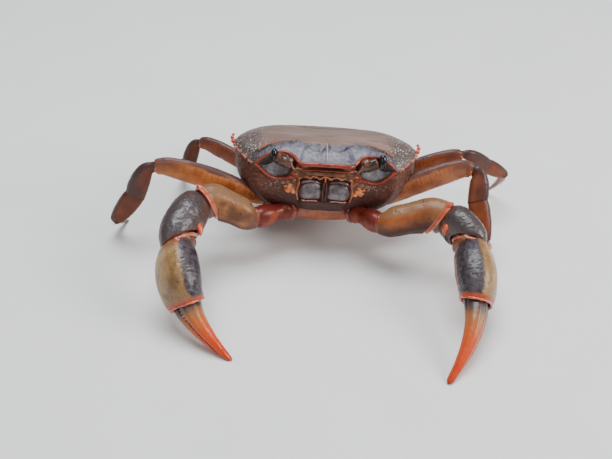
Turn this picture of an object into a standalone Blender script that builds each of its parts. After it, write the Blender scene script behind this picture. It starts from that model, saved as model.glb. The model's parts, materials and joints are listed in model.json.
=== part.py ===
# A freshwater crab standing with its claws spread: a still, life-size model in separate pieces.
# Lengths are millimetres here and metres in the meshes.
# Body frame: +x to the crab's left, +y to its rear, +z up, origin at the middle of the shell.
# World frame: the crab faces -Y and stands on z = 0.

import bpy
import bmesh
from math import cos, sin, pi, radians
from mathutils import Matrix, Vector

MM = 0.001
GAP = 0.3                     # clear space between neighbouring pieces

# ---- body ----
BODY_HEIGHT = 24.0            # body origin above the floor
BODY_PITCH = 20.9             # degrees, front raised
BODY_ROLL = 2.5               # degrees, the crab's right side raised
CROWN = 3.4                   # top of the shell above the body origin
HEART = Vector((0, -1, 0))    # the point that the shell's rings shrink towards
RIM_STEPS = 2                 # mesh points per stretch of the margin
ROOF = -8.6                   # underside of the shell above the legs' roots
SKIRT_SCALE = 0.69            # how far the side wall draws in at its lower edge
ORBIT = Vector((13.0, -16.4, -4.0))
ORBIT_RADII = (5.3, 3.4, 2.8)
EYE_FOOT = Vector((9.4, -16.6, -3.4))
EYE_TIP = Vector((14.3, -17.2, -0.6))
EYE_RADII = (1.25, 1.2, 1.9)
STALK_THICK = 1.45
BROW = 0.19                   # how far the front margin overhangs the face
SKIRT_SIDE = -10.8            # lower edge of the side wall, and how it changes ahead and behind
SKIRT_FRONT = -15.6
SKIRT_REAR = -8.8
MOUTH_HALF_WIDTH = 6.9
MOUTH_TOP = Vector((0, -15.9, -6.1))
MOUTH_FOOT = Vector((0, -13.3, -14.2))
MOUTH_OPEN = 4.0              # how far the mouth's recess is cleared in front of the face, and its depth
MOUTH_RECESS = 2.3
JAW_HALF = (3.1, 0.9)         # half width and half thickness of one mouth plate
BREAST_STEPS = 2
ABDOMEN_HALF_THICK = 0.6
FLOOR = Vector((0, 0, -1))
FORWARD = Vector((0, -1, 0))
ACROSS = Vector((1, 0, 0))

# half outline of the shell's margin, from the middle of the front to the middle of the rear: x, y, z
MARGIN = [(0, -18.9, -1.6), (3.6, -19.1, -1.5), (7.2, -18.7, -1.6), (9.4, -17.1, -1.3), (13.2, -16.2, -1.1),
          (16.4, -16.1, -1.7), (18.9, -15.7, -2.7), (20.6, -13.6, -1.7), (22.6, -10.8, -0.6),
          (24.3, -8.4, 0.4), (25.8, -7.4, 1.3), (25.2, -5.4, 1.0), (25.1, -2.2, 0.8), (23.8, 3.0, 0.1),
          (20.8, 8.8, -1.0), (16.4, 14.2, -2.2), (11.2, 18.0, -2.9), (5.6, 19.0, -3.0), (0, 19.1, -3.0)]
# outline of the breast plate, and its underside along the middle: y, z
BREAST = [(0, -12.3), (4.4, -11.9), (8.0, -9.8), (10.4, -5.6), (11.2, -0.6), (10.4, 4.6), (8.0, 9.4),
          (4.4, 11.6), (0, 11.9)]
BREAST_UNDER = [(-12.3, -14.8), (-11.2, -17.6), (-9.4, -19.6), (-5.0, -19.8), (2.0, -18.4), (8.0, -15.6),
                (11.9, -12.4)]

# ---- walking legs ----
# segment: half height, half thickness, bow of its axis, then (fraction, up, down, thick) stations
LEG = {
    "coxa": (2.5, 2.3, 0.0, [(0, .9, .9, .9), (.5, 1, 1, 1), (1, .84, .84, .84)]),
    "merus": (3.0, 1.7, 1.2, [(0, .56, .60, .90), (.12, .70, .74, 1), (.35, 1, 1, 1.05), (.6, 1.06, 1.06, 1),
                              (.84, 1, .96, .98), (.95, .86, .90, .94), (1, .62, .76, .86)]),
    "carpus": (2.5, 1.6, 0.7, [(0, .62, .70, .86), (.12, .82, .74, .95), (.4, .92, .84, 1), (.8, 1, 1, 1),
                               (1, .96, .94, .92)]),
    "propodus": (2.5, 1.4, 0.3, [(0, .94, .92, .96), (.35, 1, 1, 1), (.8, .86, .86, .86), (1, .72, .70, .80)]),
    "dactylus": (1.5, 1.1, 0.7, [(0, .96, .96, .96), (.2, .84, .82, .82), (.55, .58, .56, .62),
                                 (1, .24, .24, .34)]),
}
LEG_ORDER = ["coxa", "merus", "carpus", "propodus", "dactylus"]
LEG_SIDES = 8

# each leg: side, root on the breast plate (body frame), then how far each segment reaches:
# (length, heading, rise); heading 0 points straight out from that side, 90 to the rear
LEGS = {
    "leg1_right": (-1, (12.0, -6.6, -14.0), [(4.8, -32, 13), (30.0, -3, 20), (11.7, 4, -56), (10.8, 8, -56)],
                   (7.7, 98)),
    "leg1_left": (1, (12.0, -6.6, -14.0), [(5.0, -25, 24), (25.4, 4, 21), (8.7, -68, -52), (10.7, -71, -53)],
                  (5.9, 58)),
    "leg2_right": (-1, (12.4, 0.2, -11.8), [(4.2, 19, 13), (20.5, 23, 16), (7.7, 1, -59), (11.0, 68, -46)],
                   (4.2, 96)),
    "leg2_left": (1, (12.4, 0.2, -11.8), [(4.2, 19, 8), (24.1, 4, 22), (10.1, 19, -30), (8.5, 21, -35)],
                  (8.5, 106)),
    "leg3_right": (-1, (11.6, 6.0, -11.2), [(4.0, 36, -2), (13.6, 60, 5), (7.4, 72, -32), (9.0, 86, -34)],
                   (5.0, 100)),
    "leg3_left": (1, (11.6, 6.0, -11.2), [(4.0, 34, -2), (13.8, 57, 6), (7.4, 70, -33), (9.0, 84, -34)],
                  (5.0, 97)),
    "leg4_right": (-1, (8.6, 11.0, -10.6), [(3.6, 58, -6), (13.0, 68, 2), (6.8, 72, -24), (8.6, 83, -28)],
                   (5.2, 100)),
    "leg4_left": (1, (8.6, 11.0, -10.6), [(3.6, 56, -6), (13.2, 65, 3), (6.8, 69, -25), (8.6, 80, -28)],
                  (5.2, 96)),
}

# ---- claw arms ----
# segment: half height, half thickness, bow, stations
ARM = {
    "base": (3.4, 3.0, 0.8, [(0, .8, .8, .9), (.3, .92, .92, 1), (.7, 1, 1, 1), (1, .86, .86, .92)]),
    "merus": (4.1, 3.4, 0.6, [(0, .74, .74, .84), (.15, .84, .86, .92), (.5, 1, .96, 1), (.85, 1.26, 1.12, 1.1),
                              (1, 1.24, 1.14, 1.04)]),
    "carpus": (5.8, 5.4, 1.0, [(0, .62, .56, .70), (.12, .82, .70, .88), (.4, 1, .92, 1), (.75, 1, 1, 1),
                               (.93, .86, .84, .9), (1, .7, .68, .74)]),
}
ARM_ORDER = ["base", "merus", "carpus"]
ARM_SIDES = 12
PALM_HALF = (6.2, 5.0)        # half height and half thickness at its fullest
PALM_STATIONS = [(0, .56, .56, .62), (.10, .72, .70, .78), (.35, .96, .96, 1), (.70, 1, 1, 1),
                 (.90, .84, .84, .84), (1, .68, .70, .72)]
FINGER_HALF = (3.9, 3.0)      # of both fingers together, at their root
FINGER_STATIONS = [(0, 1), (.15, .90), (.4, .70), (.65, .50), (.85, .32), (1, .16)]
FINGER_RISE = 1.2             # how far the fingers bow upwards and outwards
FINGER_BOW = 2.0
ARMS = {
    # side, root (body frame), base, merus, carpus and palm as (length, heading, rise), then where the
    # finger tips reach on the floor: (distance, heading), the hand's lean and its outward bow
    "arm_right": (-1, (8.6, -10.6, -16.4), [(11.2, -31, 6), (13.4, -6, 22), (14.3, -68, -8), (16.2, -101, -34)],
                  (14.3, -136), 32, 1.6),
    "arm_left": (1, (8.6, -10.6, -16.4), [(10.1, -45, 11), (15.7, -6, 11), (10.0, -53, -9), (16.4, -87, -23)],
                 (18.9, -113), 14, 0.9),
}

COLOURS = {
    "shell": ((0.13, 0.10, 0.075), 0.55), "breast": ((0.50, 0.25, 0.10), 0.45),
    "mouth": ((0.24, 0.25, 0.28), 0.35), "stalk": ((0.16, 0.09, 0.06), 0.35),
    "eye": ((0.01, 0.01, 0.012), 0.08), "leg": ((0.33, 0.13, 0.05), 0.40),
    "leg_tip": ((0.42, 0.16, 0.05), 0.45), "arm": ((0.38, 0.20, 0.09), 0.35),
    "wrist": ((0.10, 0.08, 0.075), 0.30), "hand": ((0.30, 0.18, 0.08), 0.28),
    "finger": ((0.55, 0.12, 0.03), 0.30),
}


def body_matrix():
    return (Matrix.Translation((0, 0, BODY_HEIGHT)) @ Matrix.Rotation(radians(BODY_ROLL), 4, "Y")
            @ Matrix.Rotation(radians(-BODY_PITCH), 4, "X"))


def reach(side, length, heading, rise):
    # a step out from the given side of the body
    h, r = radians(heading), radians(rise)
    return Vector((side * cos(h) * cos(r), sin(h) * cos(r), sin(r))) * length


def curve_point(a, b, c, d, t):
    # Catmull-Rom, from b to c
    return 0.5 * ((2 * b) + (c - a) * t + (2 * a - 5 * b + 4 * c - d) * t * t + (3 * b - a - 3 * c + d) * t ** 3)


def whole_loop(half, steps):
    # mirror half an outline and run a smooth closed curve through it
    half = [Vector((*p, 0)) if len(p) == 2 else Vector(p) for p in half]
    points = half + [mirrored(p, -1) for p in reversed(half[1:-1])]
    count = len(points)
    out = []
    for i in range(count):
        near = [points[(i + k - 1) % count] for k in range(4)]
        out += [curve_point(*near, j / steps) for j in range(steps)]
    return out


def mirrored(v, side):
    return Vector((side * v.x, v.y, v.z))


def between(table, x):
    # straight-line reading of a table of (x, value)
    for (x0, v0), (x1, v1) in zip(table, table[1:]):
        if x <= x1:
            return v0 + (v1 - v0) * max(0, x - x0) / (x1 - x0)
    return table[-1][1]


def eased(low, high, x):
    t = max(0, min(1, (x - low) / (high - low)))
    return t * t * (3 - 2 * t)


# ---- meshes from rings ----

def ring(centre, up, side, high, low, thick, count, power=2.0):
    # a closed section: high and low are its reach along up and against it
    points = []
    for k in range(count):
        a = 2 * pi * k / count
        c, s = cos(a), sin(a)
        c = abs(c) ** (2 / power) * (1 if c >= 0 else -1)
        s = abs(s) ** (2 / power) * (1 if s >= 0 else -1)
        points.append(centre + up * (c * (high if c > 0 else low)) + side * (s * thick))
    return points


def shear_to(points, centre, axis, normal):
    # slide a section's points along the axis until they lie square to the normal
    return [p - axis * ((p - centre).dot(normal) / axis.dot(normal)) for p in points]


def solid_from_rings(name, rings, colour, matrix=None):
    # skin the rings, close both ends, and make the object in metres
    bm = bmesh.new()
    rows = [[bm.verts.new(p * MM) for p in points] for points in rings]
    count = len(rows[0])
    for low, high in zip(rows, rows[1:]):
        for k in range(count):
            n = (k + 1) % count
            bm.faces.new((low[k], low[n], high[n], high[k]))
    bm.faces.new(list(reversed(rows[0])))
    bm.faces.new(rows[-1])
    return finish_mesh(name, bm, colour, matrix)


def finish_mesh(name, bm, colour, matrix=None):
    bmesh.ops.remove_doubles(bm, verts=bm.verts, dist=1e-7)
    bmesh.ops.recalc_face_normals(bm, faces=bm.faces)
    if matrix is not None:
        bmesh.ops.transform(bm, matrix=matrix_in_metres(matrix), verts=bm.verts)
    mesh = bpy.data.meshes.new(name)
    bm.to_mesh(mesh)
    bm.free()
    mesh.shade_smooth()
    mesh.set_sharp_from_angle(angle=radians(40))
    obj = bpy.data.objects.new(name, mesh)
    bpy.context.collection.objects.link(obj)
    mesh.materials.append(material(colour))
    return obj


def matrix_in_metres(matrix):
    m = matrix.copy()
    m.translation = m.translation * MM
    return m


def material(colour):
    if colour in bpy.data.materials:
        return bpy.data.materials[colour]
    mat = bpy.data.materials.new(colour)
    mat.use_nodes = True
    rgb, rough = COLOURS[colour]
    shader = mat.node_tree.nodes["Principled BSDF"]
    shader.inputs["Base Color"].default_value = (*rgb, 1)
    shader.inputs["Roughness"].default_value = rough
    return mat


# ---- limbs ----

def up_from_facing(axis, facing, side):
    # the back edge of a leg that lies in an upright plane, whose front face looks along facing
    front = (facing - axis * facing.dot(axis)).normalized()
    return axis.cross(front) * -side


def up_from_world(axis, lean, side):
    up = (Vector((0, 0, 1)) - axis * axis.z).normalized()
    return Matrix.Rotation(radians(lean) * side, 3, axis) @ up


def segment_rings(start, end, up, sizes, start_normal, end_normal, count, grow=0.0, end_gap=GAP / 2,
                  side_bow=0.0):
    # one limb segment between two joints, its ends cut to the joints' shared planes
    half_high, half_thick, bow, stations = sizes
    axis = (end - start).normalized()
    length = (end - start).length
    side = axis.cross(up)
    rings = []
    for f, high, low, thick in stations:
        centre = start + axis * (length * f) + (up * bow + side * side_bow) * (4 * f * (1 - f))
        if f == 0:
            centre += axis * ((GAP / 2 - 2 * grow) / axis.dot(start_normal))
        if f == 1:
            centre -= axis * (end_gap / axis.dot(end_normal))
        points = ring(centre, up, side, half_high * high + grow, half_high * low + grow,
                      half_thick * thick + grow, count)
        near_start, near_end = max(0, 1 - f / 0.35), max(0, 1 - (1 - f) / 0.35)
        normal = axis * (1 - near_start - near_end) + start_normal * near_start + end_normal * near_end
        rings.append(shear_to(points, centre, axis, normal.normalized()))
    return rings


def joint_points(side, root, runs, last):
    # from the root on the body out to the tip, which stands on the floor
    points = [body_matrix() @ Vector((side * root[0], root[1], root[2]))]
    for run in runs:
        points.append(points[-1] + reach(side, *run))
    tip = points[-1] + reach(side, last[0], last[1], 0)
    points.append(Vector((tip.x, tip.y, 0)))
    return points


def joint_normals(points):
    # at each joint the plane halfway between its two segments; the floor at the tip
    steps = [(b - a).normalized() for a, b in zip(points, points[1:])]
    inner = [(a + b).normalized() for a, b in zip(steps, steps[1:])]
    return [steps[0]] + inner + [FLOOR]


def leg_segment(name, index, grow=0.0):
    side, root, runs, last = LEGS[name]
    points = joint_points(side, root, runs, last)
    normals = joint_normals(points)
    heading = radians(runs[1][1])
    facing = Vector((side * sin(heading), -cos(heading), 0))
    start, end = points[index], points[index + 1]
    up = up_from_facing((end - start).normalized(), facing, side)
    tip = index == len(LEG_ORDER) - 1
    return segment_rings(start, end, up, LEG[LEG_ORDER[index]], normals[index], normals[index + 1],
                         LEG_SIDES, grow, 0 if tip else GAP / 2)


def build_leg(name):
    for index, segment in enumerate(LEG_ORDER):
        colour = "leg_tip" if segment == "dactylus" else "leg"
        solid_from_rings(f"{name}_{segment}", leg_segment(name, index), colour)


def arm_segment(name, index, grow=0.0):
    side, root, runs, last = ARMS[name][:4]
    points = joint_points(side, root, runs, last)
    normals = joint_normals(points)
    start, end = points[index], points[index + 1]
    up = up_from_world((end - start).normalized(), 0, side)
    return segment_rings(start, end, up, ARM[ARM_ORDER[index]], normals[index], normals[index + 1],
                         ARM_SIDES, grow)


def finger_rings(root, tip, up, bow, root_normal, upper):
    # half of the closed pair of fingers, cut flat where the two meet
    axis = (tip - root).normalized()
    length = (tip - root).length
    side = axis.cross(up)
    rings = []
    for f, size in FINGER_STATIONS:
        centre = root + axis * (length * f) + bow * (4 * f * (1 - f))
        if f == 0:
            centre += axis * ((GAP / 2 if upper else -GAP / 2) / axis.dot(root_normal))
        near_root, near_tip = max(0, 1 - f / 0.35), max(0, 1 - (1 - f) / 0.35)
        normal = (axis * (1 - near_root - near_tip) + root_normal * near_root + FLOOR * near_tip).normalized()
        points = []
        for p in ring(Vector(), up, side, FINGER_HALF[0] * size, FINGER_HALF[0] * size,
                      FINGER_HALF[1] * size, ARM_SIDES):
            lift = p.dot(up)
            flat = max(lift, GAP / 2) if upper else min(lift, -GAP / 2)
            points.append(centre + p + up * (flat - lift))
        rings.append(shear_to(points, centre, axis, normal))
    return rings


def build_arm(name):
    side, root, runs, last, lean, hand_bow = ARMS[name]
    for index, segment in enumerate(ARM_ORDER):
        colour = "wrist" if segment == "carpus" else "arm"
        solid_from_rings(f"{name}_{segment}", arm_segment(name, index), colour)
    points = joint_points(side, root, runs, last)
    normals = joint_normals(points)
    wrist, knuckle, tip = points[-3:]
    palm_up = up_from_world((knuckle - wrist).normalized(), lean, side)
    palm = segment_rings(wrist, knuckle, palm_up, (*PALM_HALF, 0.4, PALM_STATIONS), normals[-3], normals[-2],
                         ARM_SIDES, side_bow=-side * hand_bow)
    finger_up = up_from_world((tip - knuckle).normalized(), lean / 3, side)
    bow = finger_up * FINGER_RISE + Vector((side * FINGER_BOW, 0, 0))
    fixed = finger_rings(knuckle, tip, finger_up, bow, normals[-2], False)
    solid_from_rings(f"{name}_palm", palm + fixed, "hand")
    solid_from_rings(f"{name}_finger", finger_rings(knuckle, tip, finger_up, bow, normals[-2], True), "finger")


# ---- body ----

def front_share(rim):
    # 1 straight ahead of the heart point, 0 at the sides, -1 behind
    flat = Vector((rim.x - HEART.x, rim.y - HEART.y))
    return -flat.y / flat.length


def shell_point(rim, rho):
    # the back: rho 0 at the heart, 1 at the margin; the front bends down late, the rest early
    ahead, behind = max(0, front_share(rim)), max(0, -front_share(rim))
    power = 3.8 + 1.5 * ahead ** 2 - 1.1 * behind ** 2
    p = HEART.lerp(rim, rho)
    p.z = rim.z + (CROWN - rim.z) * (1 - rho ** power)
    return p


def wall_point(rim, depth):
    # the side wall and the face: depth 0 at the margin, 1 at the lower edge
    ahead, behind = max(0, front_share(rim)), max(0, -front_share(rim))
    low = SKIRT_SIDE + (SKIRT_FRONT - SKIRT_SIDE) * eased(0.0, 0.5, ahead)
    low += (SKIRT_REAR - SKIRT_SIDE) * behind ** 1.5
    scale = 1 - (1 - SKIRT_SCALE) * (0.1 * depth + 0.9 * depth ** 3.6)
    scale -= BROW * ahead ** 8 * min(1, depth / 0.12) * (1 - depth)
    p = HEART + (rim - HEART) * scale
    p.z = rim.z + (low - rim.z) * depth
    return p


def roof_point(rim, scale):
    p = HEART + (rim - HEART) * scale
    p.z = ROOF
    return p


def ellipsoid(name, centre, radii, colour="shell", segments=20, rows=12):
    bm = bmesh.new()
    bmesh.ops.create_uvsphere(bm, u_segments=segments, v_segments=rows, radius=1)
    place = Matrix.Translation(centre * MM) @ Matrix.Diagonal((*[r * MM for r in radii], 1))
    bmesh.ops.transform(bm, matrix=place, verts=bm.verts)
    obj = finish_mesh(name, bm, colour)
    obj.data.transform(matrix_in_metres(body_matrix()))
    return obj


def as_cutter(obj):
    obj.hide_render = True
    obj.display_type = "WIRE"
    return obj


def cut(obj, cutters):
    # take all the cutters away in one step
    group = bpy.data.collections.new(f"cutters of {obj.name}")
    for cutter in cutters:
        group.objects.link(cutter)
    mod = obj.modifiers.new("cut", "BOOLEAN")
    mod.operation = "DIFFERENCE"
    mod.solver = "EXACT"
    mod.operand_type = "COLLECTION"
    mod.collection = group


def limb_root_cutters():
    # the limbs' first two segments, a gap's width fatter
    cutters = []
    for name in LEGS:
        for index in (0, 1):
            obj = solid_from_rings(f"cut_{name}_{index}", leg_segment(name, index, GAP), "shell")
            cutters.append(as_cutter(obj))
    for name in ARMS:
        for index in (0, 1):
            obj = solid_from_rings(f"cut_{name}_{index}", arm_segment(name, index, GAP), "shell")
            cutters.append(as_cutter(obj))
    return cutters


def mouth_cutter():
    # the recess that the jaws lie in, open to the front
    rings = [ring(p, FORWARD, ACROSS, MOUTH_OPEN, MOUTH_RECESS, MOUTH_HALF_WIDTH, 20, 5)
             for p in (MOUTH_TOP, MOUTH_FOOT)]
    return as_cutter(solid_from_rings("cut_mouth", rings, "shell", body_matrix()))


def build_shell(mouth_cutters, limb_cutters):
    rims = whole_loop(MARGIN, RIM_STEPS)
    rings = [[roof_point(r, s) for r in rims] for s in (0.40, 0.60)]
    rings += [[wall_point(r, d) for r in rims] for d in (1.0, 0.86, 0.68, 0.48, 0.28, 0.12, 0.04)]
    rings += [[shell_point(r, s) for r in rims] for s in (1.0, 0.95, 0.86, 0.72, 0.52, 0.28, 0.12)]
    shell = solid_from_rings("carapace", rings, "shell", body_matrix())
    cutters = []
    for side in (-1, 1):
        cutters.append(as_cutter(ellipsoid(f"cut_orbit_{side}", mirrored(ORBIT, side), ORBIT_RADII)))
        cutters.append(as_cutter(solid_from_rings(f"cut_stalk_{side}", stalk_rings(side, GAP), "shell",
                                                  body_matrix())))
        cutters.append(as_cutter(ellipsoid(f"cut_eye_{side}", mirrored(EYE_TIP, side),
                                           [r + GAP for r in EYE_RADII])))
    cutters.append(as_cutter(solid_from_rings("cut_abdomen", abdomen_rings(GAP), "shell", body_matrix())))
    cut(shell, cutters + mouth_cutters + limb_cutters)


def stalk_rings(side, grow=0.0):
    # the eye stalk, from its foot at the orbit's inner corner out to the eye
    foot, tip = mirrored(EYE_FOOT, side), mirrored(EYE_TIP, side)
    axis = (tip - foot).normalized()
    end = tip - axis * (EYE_RADII[0] + GAP)
    up = (Vector((0, 0, 1)) - axis * axis.z).normalized()
    across = axis.cross(up)
    rings = []
    for f, size in ((0, 0.8), (0.35, 1.0), (0.75, 0.95), (1, 0.75)):
        reach_out = STALK_THICK * size + grow
        rings.append(ring(foot.lerp(end, f), up, across, reach_out, reach_out, reach_out, 10))
    return rings


def build_eyes():
    for side, label in ((-1, "right"), (1, "left")):
        solid_from_rings(f"eyestalk_{label}", stalk_rings(side), "stalk", body_matrix())
        ellipsoid(f"eye_{label}", mirrored(EYE_TIP, side), EYE_RADII, "eye", 12, 8)


def build_jaws(limb_cutters):
    # the two outer mouth plates, side by side in the mouth frame
    base_cutters = [c for c in limb_cutters if "arm" in c.name]
    for side, label in ((-1, "right"), (1, "left")):
        rings = []
        for f, width in ((0.04, 0.72), (0.2, 0.96), (0.5, 1.0), (0.8, 0.92), (0.95, 0.66)):
            centre = MOUTH_TOP.lerp(MOUTH_FOOT, f) + ACROSS * (side * (JAW_HALF[0] + GAP / 2))
            centre -= FORWARD * (MOUTH_RECESS - GAP - JAW_HALF[1])
            rings.append(ring(centre, FORWARD, ACROSS, JAW_HALF[1], JAW_HALF[1], JAW_HALF[0] * width, 12, 3))
        jaw = solid_from_rings(f"maxilliped_{label}", rings, "mouth", body_matrix())
        cut(jaw, base_cutters)


def build_breast(mouth_cutters, limb_cutters):
    loop = whole_loop(BREAST, BREAST_STEPS)
    rings = []
    top = ROOF - GAP
    for depth, scale in ((0, 0.86), (0.3, 0.93), (0.6, 1.0), (0.92, 0.94), (1, 0.78)):
        rings.append([Vector((p.x * scale, p.y * scale, top + (between(BREAST_UNDER, p.y) - top) * depth))
                      for p in loop])
    cut(solid_from_rings("sternum", rings, "breast", body_matrix()), mouth_cutters + limb_cutters)


def abdomen_rings(grow=0.0):
    # the narrow tail plate folded under the breast, then up behind to the shell's rear edge
    lift = GAP + ABDOMEN_HALF_THICK
    path = [(Vector((0, y, between(BREAST_UNDER, y) - lift)), width)
            for y, width in ((-3.6, 1.2), (-1.6, 2.1), (2.6, 3.0), (7.0, 4.2))]
    path += [(Vector((0, y, z)), width) for y, z, width in ((12.0, -13.2, 5.4), (15.4, -11.4, 6.4),
                                                            (18.0, -8.6, 7.0), (19.5, -5.2, 7.4))]
    rings = []
    for i, (point, width) in enumerate(path):
        ahead = path[min(i + 1, len(path) - 1)][0] - path[max(i - 1, 0)][0]
        up = ACROSS.cross(ahead.normalized())
        thick = ABDOMEN_HALF_THICK + grow
        rings.append(ring(point, up, ACROSS, thick, thick, width + grow, 10, 3))
    return rings


def stand_on_origin():
    # move the whole model so that the middle of its footprint is the origin
    root = bpy.data.objects.new("crab", None)
    bpy.context.collection.objects.link(root)
    pieces = [o for o in bpy.context.collection.objects if o.type == "MESH"]
    corners = [v.co for o in pieces if not o.hide_render for v in o.data.vertices]
    for axis in (0, 1):
        values = [c[axis] for c in corners]
        root.location[axis] = -(min(values) + max(values)) / 2
    for obj in pieces:
        obj.parent = root


def main():
    for obj in list(bpy.data.objects):
        bpy.data.objects.remove(obj)
    limbs, mouth = limb_root_cutters(), [mouth_cutter()]
    build_shell(mouth, limbs)
    build_eyes()
    build_jaws(limbs)
    build_breast(mouth, limbs)
    solid_from_rings("abdomen", abdomen_rings(), "breast", body_matrix())
    for name in ARMS:
        build_arm(name)
    for name in LEGS:
        build_leg(name)
    stand_on_origin()


main()
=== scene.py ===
import json
import bpy
import numpy as np
from math import cos, sin, pi, radians, tan
from mathutils import Matrix, Vector

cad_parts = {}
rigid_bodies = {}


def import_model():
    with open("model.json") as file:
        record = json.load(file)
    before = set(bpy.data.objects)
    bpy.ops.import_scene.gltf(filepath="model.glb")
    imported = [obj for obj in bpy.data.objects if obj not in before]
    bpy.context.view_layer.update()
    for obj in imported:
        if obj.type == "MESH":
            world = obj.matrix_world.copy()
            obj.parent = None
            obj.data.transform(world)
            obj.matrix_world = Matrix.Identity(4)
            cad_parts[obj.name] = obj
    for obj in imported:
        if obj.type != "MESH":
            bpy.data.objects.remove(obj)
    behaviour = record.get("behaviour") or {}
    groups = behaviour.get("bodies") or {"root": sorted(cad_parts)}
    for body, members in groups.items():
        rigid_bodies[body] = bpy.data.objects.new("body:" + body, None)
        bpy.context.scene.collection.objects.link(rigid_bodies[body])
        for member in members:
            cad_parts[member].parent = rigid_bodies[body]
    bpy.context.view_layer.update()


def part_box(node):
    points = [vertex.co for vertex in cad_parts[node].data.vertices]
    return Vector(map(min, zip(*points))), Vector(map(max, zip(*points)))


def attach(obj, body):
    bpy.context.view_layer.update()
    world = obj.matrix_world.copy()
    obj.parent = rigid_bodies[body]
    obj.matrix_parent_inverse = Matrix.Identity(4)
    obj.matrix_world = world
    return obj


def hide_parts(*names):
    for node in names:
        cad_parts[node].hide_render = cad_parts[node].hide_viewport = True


for leftover in list(bpy.data.objects):
    bpy.data.objects.remove(leftover)
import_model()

mm = 0.001
sides = ((-1, "right"), (1, "left"))
stance = {"bodyHeight": 24.0, "pitch": 20.9, "roll": 2.5}
eye = {"foot": (9.0, -15.9, -2.0), "ball": (14.3, -17.2, -0.6), "wide": 0.95, "deep": 1.15, "tall": 1.75,
       "stalkThick": 1.8, "stalkShape": [(0, .62), (.08, .95), (.3, 1.08), (.62, .98), (.85, .92), (.95, .80),
                                         (1, .5)]}

# the body's frame: x to the crab's left, y to its rear, z up, before it tips back
turn = Matrix.Rotation(radians(stance["roll"]), 4, "Y") @ Matrix.Rotation(radians(-stance["pitch"]), 4, "X")
eyeLow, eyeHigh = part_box("eye_left")
bodyPlace = Matrix.Translation((eyeLow + eyeHigh) / 2 / mm - turn @ Vector(eye["ball"])) @ turn
bodyArray = np.array(bodyPlace)
floorWay = np.array((0.0, 0.0, -1.0))


# numbers

def eased(low, high, x):
    t = np.clip((np.asarray(x, float) - low) / (high - low), 0, 1)
    return t * t * (3 - 2 * t)


def bump(x, middle, width):
    return np.exp(-((np.asarray(x, float) - middle) / width) ** 2)


def readTable(table, x):
    # smooth reading of a table of (x, value, value...), one column of results per value
    table = np.array(table, float)
    keys, values = table[:, 0], table[:, 1:]
    x = np.clip(np.asarray(x, float), keys[0], keys[-1])
    slopes = np.gradient(values, keys, axis=0)
    i = np.clip(np.searchsorted(keys, x, side="right") - 1, 0, len(keys) - 2)
    h = (keys[i + 1] - keys[i])[..., None]
    t = (x - keys[i])[..., None] / h
    return (values[i] * (1 + 2 * t) * (1 - t) ** 2 + values[i + 1] * t * t * (3 - 2 * t)
            + slopes[i] * h * t * (1 - t) ** 2 - slopes[i + 1] * h * t * t * (1 - t))


def softNoise(points, scale, seed=0):
    # smooth lattice noise, -1 to 1
    p = np.asarray(points, float) * scale + 31.7 * seed + 100.0
    low = np.floor(p).astype(np.int64)
    f = p - low
    f = f * f * (3 - 2 * f)
    total = 0.0
    for corner in np.ndindex(2, 2, 2):
        n = np.bitwise_xor.reduce((low + corner) * (73856093, 19349663, 83492791), axis=-1)
        n = (n ^ (n >> 13)) * 1274126177 & 0xFFFFFFFF
        value = ((n ^ (n >> 16)) & 0xFFFF) / 32767.5 - 1
        total = total + value * np.where(np.array(corner, bool), f, 1 - f).prod(-1)
    return total


def alongNoise(x, scale, seed):
    return softNoise(np.stack([x, 0 * x, 0 * x], -1), scale, seed)


def smoothLine(points, steps, closed=False):
    # Catmull-Rom through the points
    points = np.array(points, float)
    before, after = 2 * points[:1] - points[1:2], 2 * points[-1:] - points[-2:-1]
    if closed:
        before, after = points[-1:], points[:2]
    padded = np.vstack([before, points, after])
    a, b, c, d = (padded[i:len(padded) - 3 + i, None] for i in range(4))
    t = (np.arange(steps) / steps)[:, None]
    line = 2 * b + (c - a) * t + (2 * a - 5 * b + 4 * c - d) * t * t + (3 * b - a - 3 * c + d) * t ** 3
    line = line.reshape(-1, points.shape[1]) / 2
    return line if closed else np.vstack([line, points[-1:]])


def mirroredHalf(half, steps):
    half = np.array(half, float)
    return smoothLine(np.vstack([half, half[1:-1][::-1] * (-1, 1, 1)]), steps, closed=True)


def unit(v):
    v = np.asarray(v, float)
    return v / np.linalg.norm(v, axis=-1, keepdims=True)


def wayToWorld(ways):
    return ways @ bodyArray[:3, :3].T


def toWorld(points, side=1):
    # from the body's frame, mirrored first for the right side
    return wayToWorld(np.asarray(points, float) * (side, 1, 1)) + bodyArray[:3, 3]


def withEnds(values, before, after):
    return np.concatenate([np.repeat(values[:1], before, 0), values, np.repeat(values[-1:], after, 0)])


def ringSection(columns, power=2.0):
    # angles round a ring, with their cosine and sine squared off by the power
    a = np.linspace(0, 2 * pi, columns, endpoint=False)
    c, s = (np.abs(v) ** (2 / power) * np.sign(v) for v in (np.cos(a), np.sin(a)))
    return a, c, s


# meshes

def linked(name, data):
    piece = bpy.data.objects.new(name, data)
    bpy.context.scene.collection.objects.link(piece)
    return piece


def addLayer(mesh, key, values, kind="FLOAT"):
    layer = mesh.attributes.new(key, kind, "POINT")
    layer.data.foreach_set("value" if kind == "FLOAT" else "vector", np.asarray(values, np.float32).ravel())


def settle(piece, slotName, *nodes):
    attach(piece, "root")
    if nodes:
        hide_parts(*nodes)
    return piece


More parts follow.
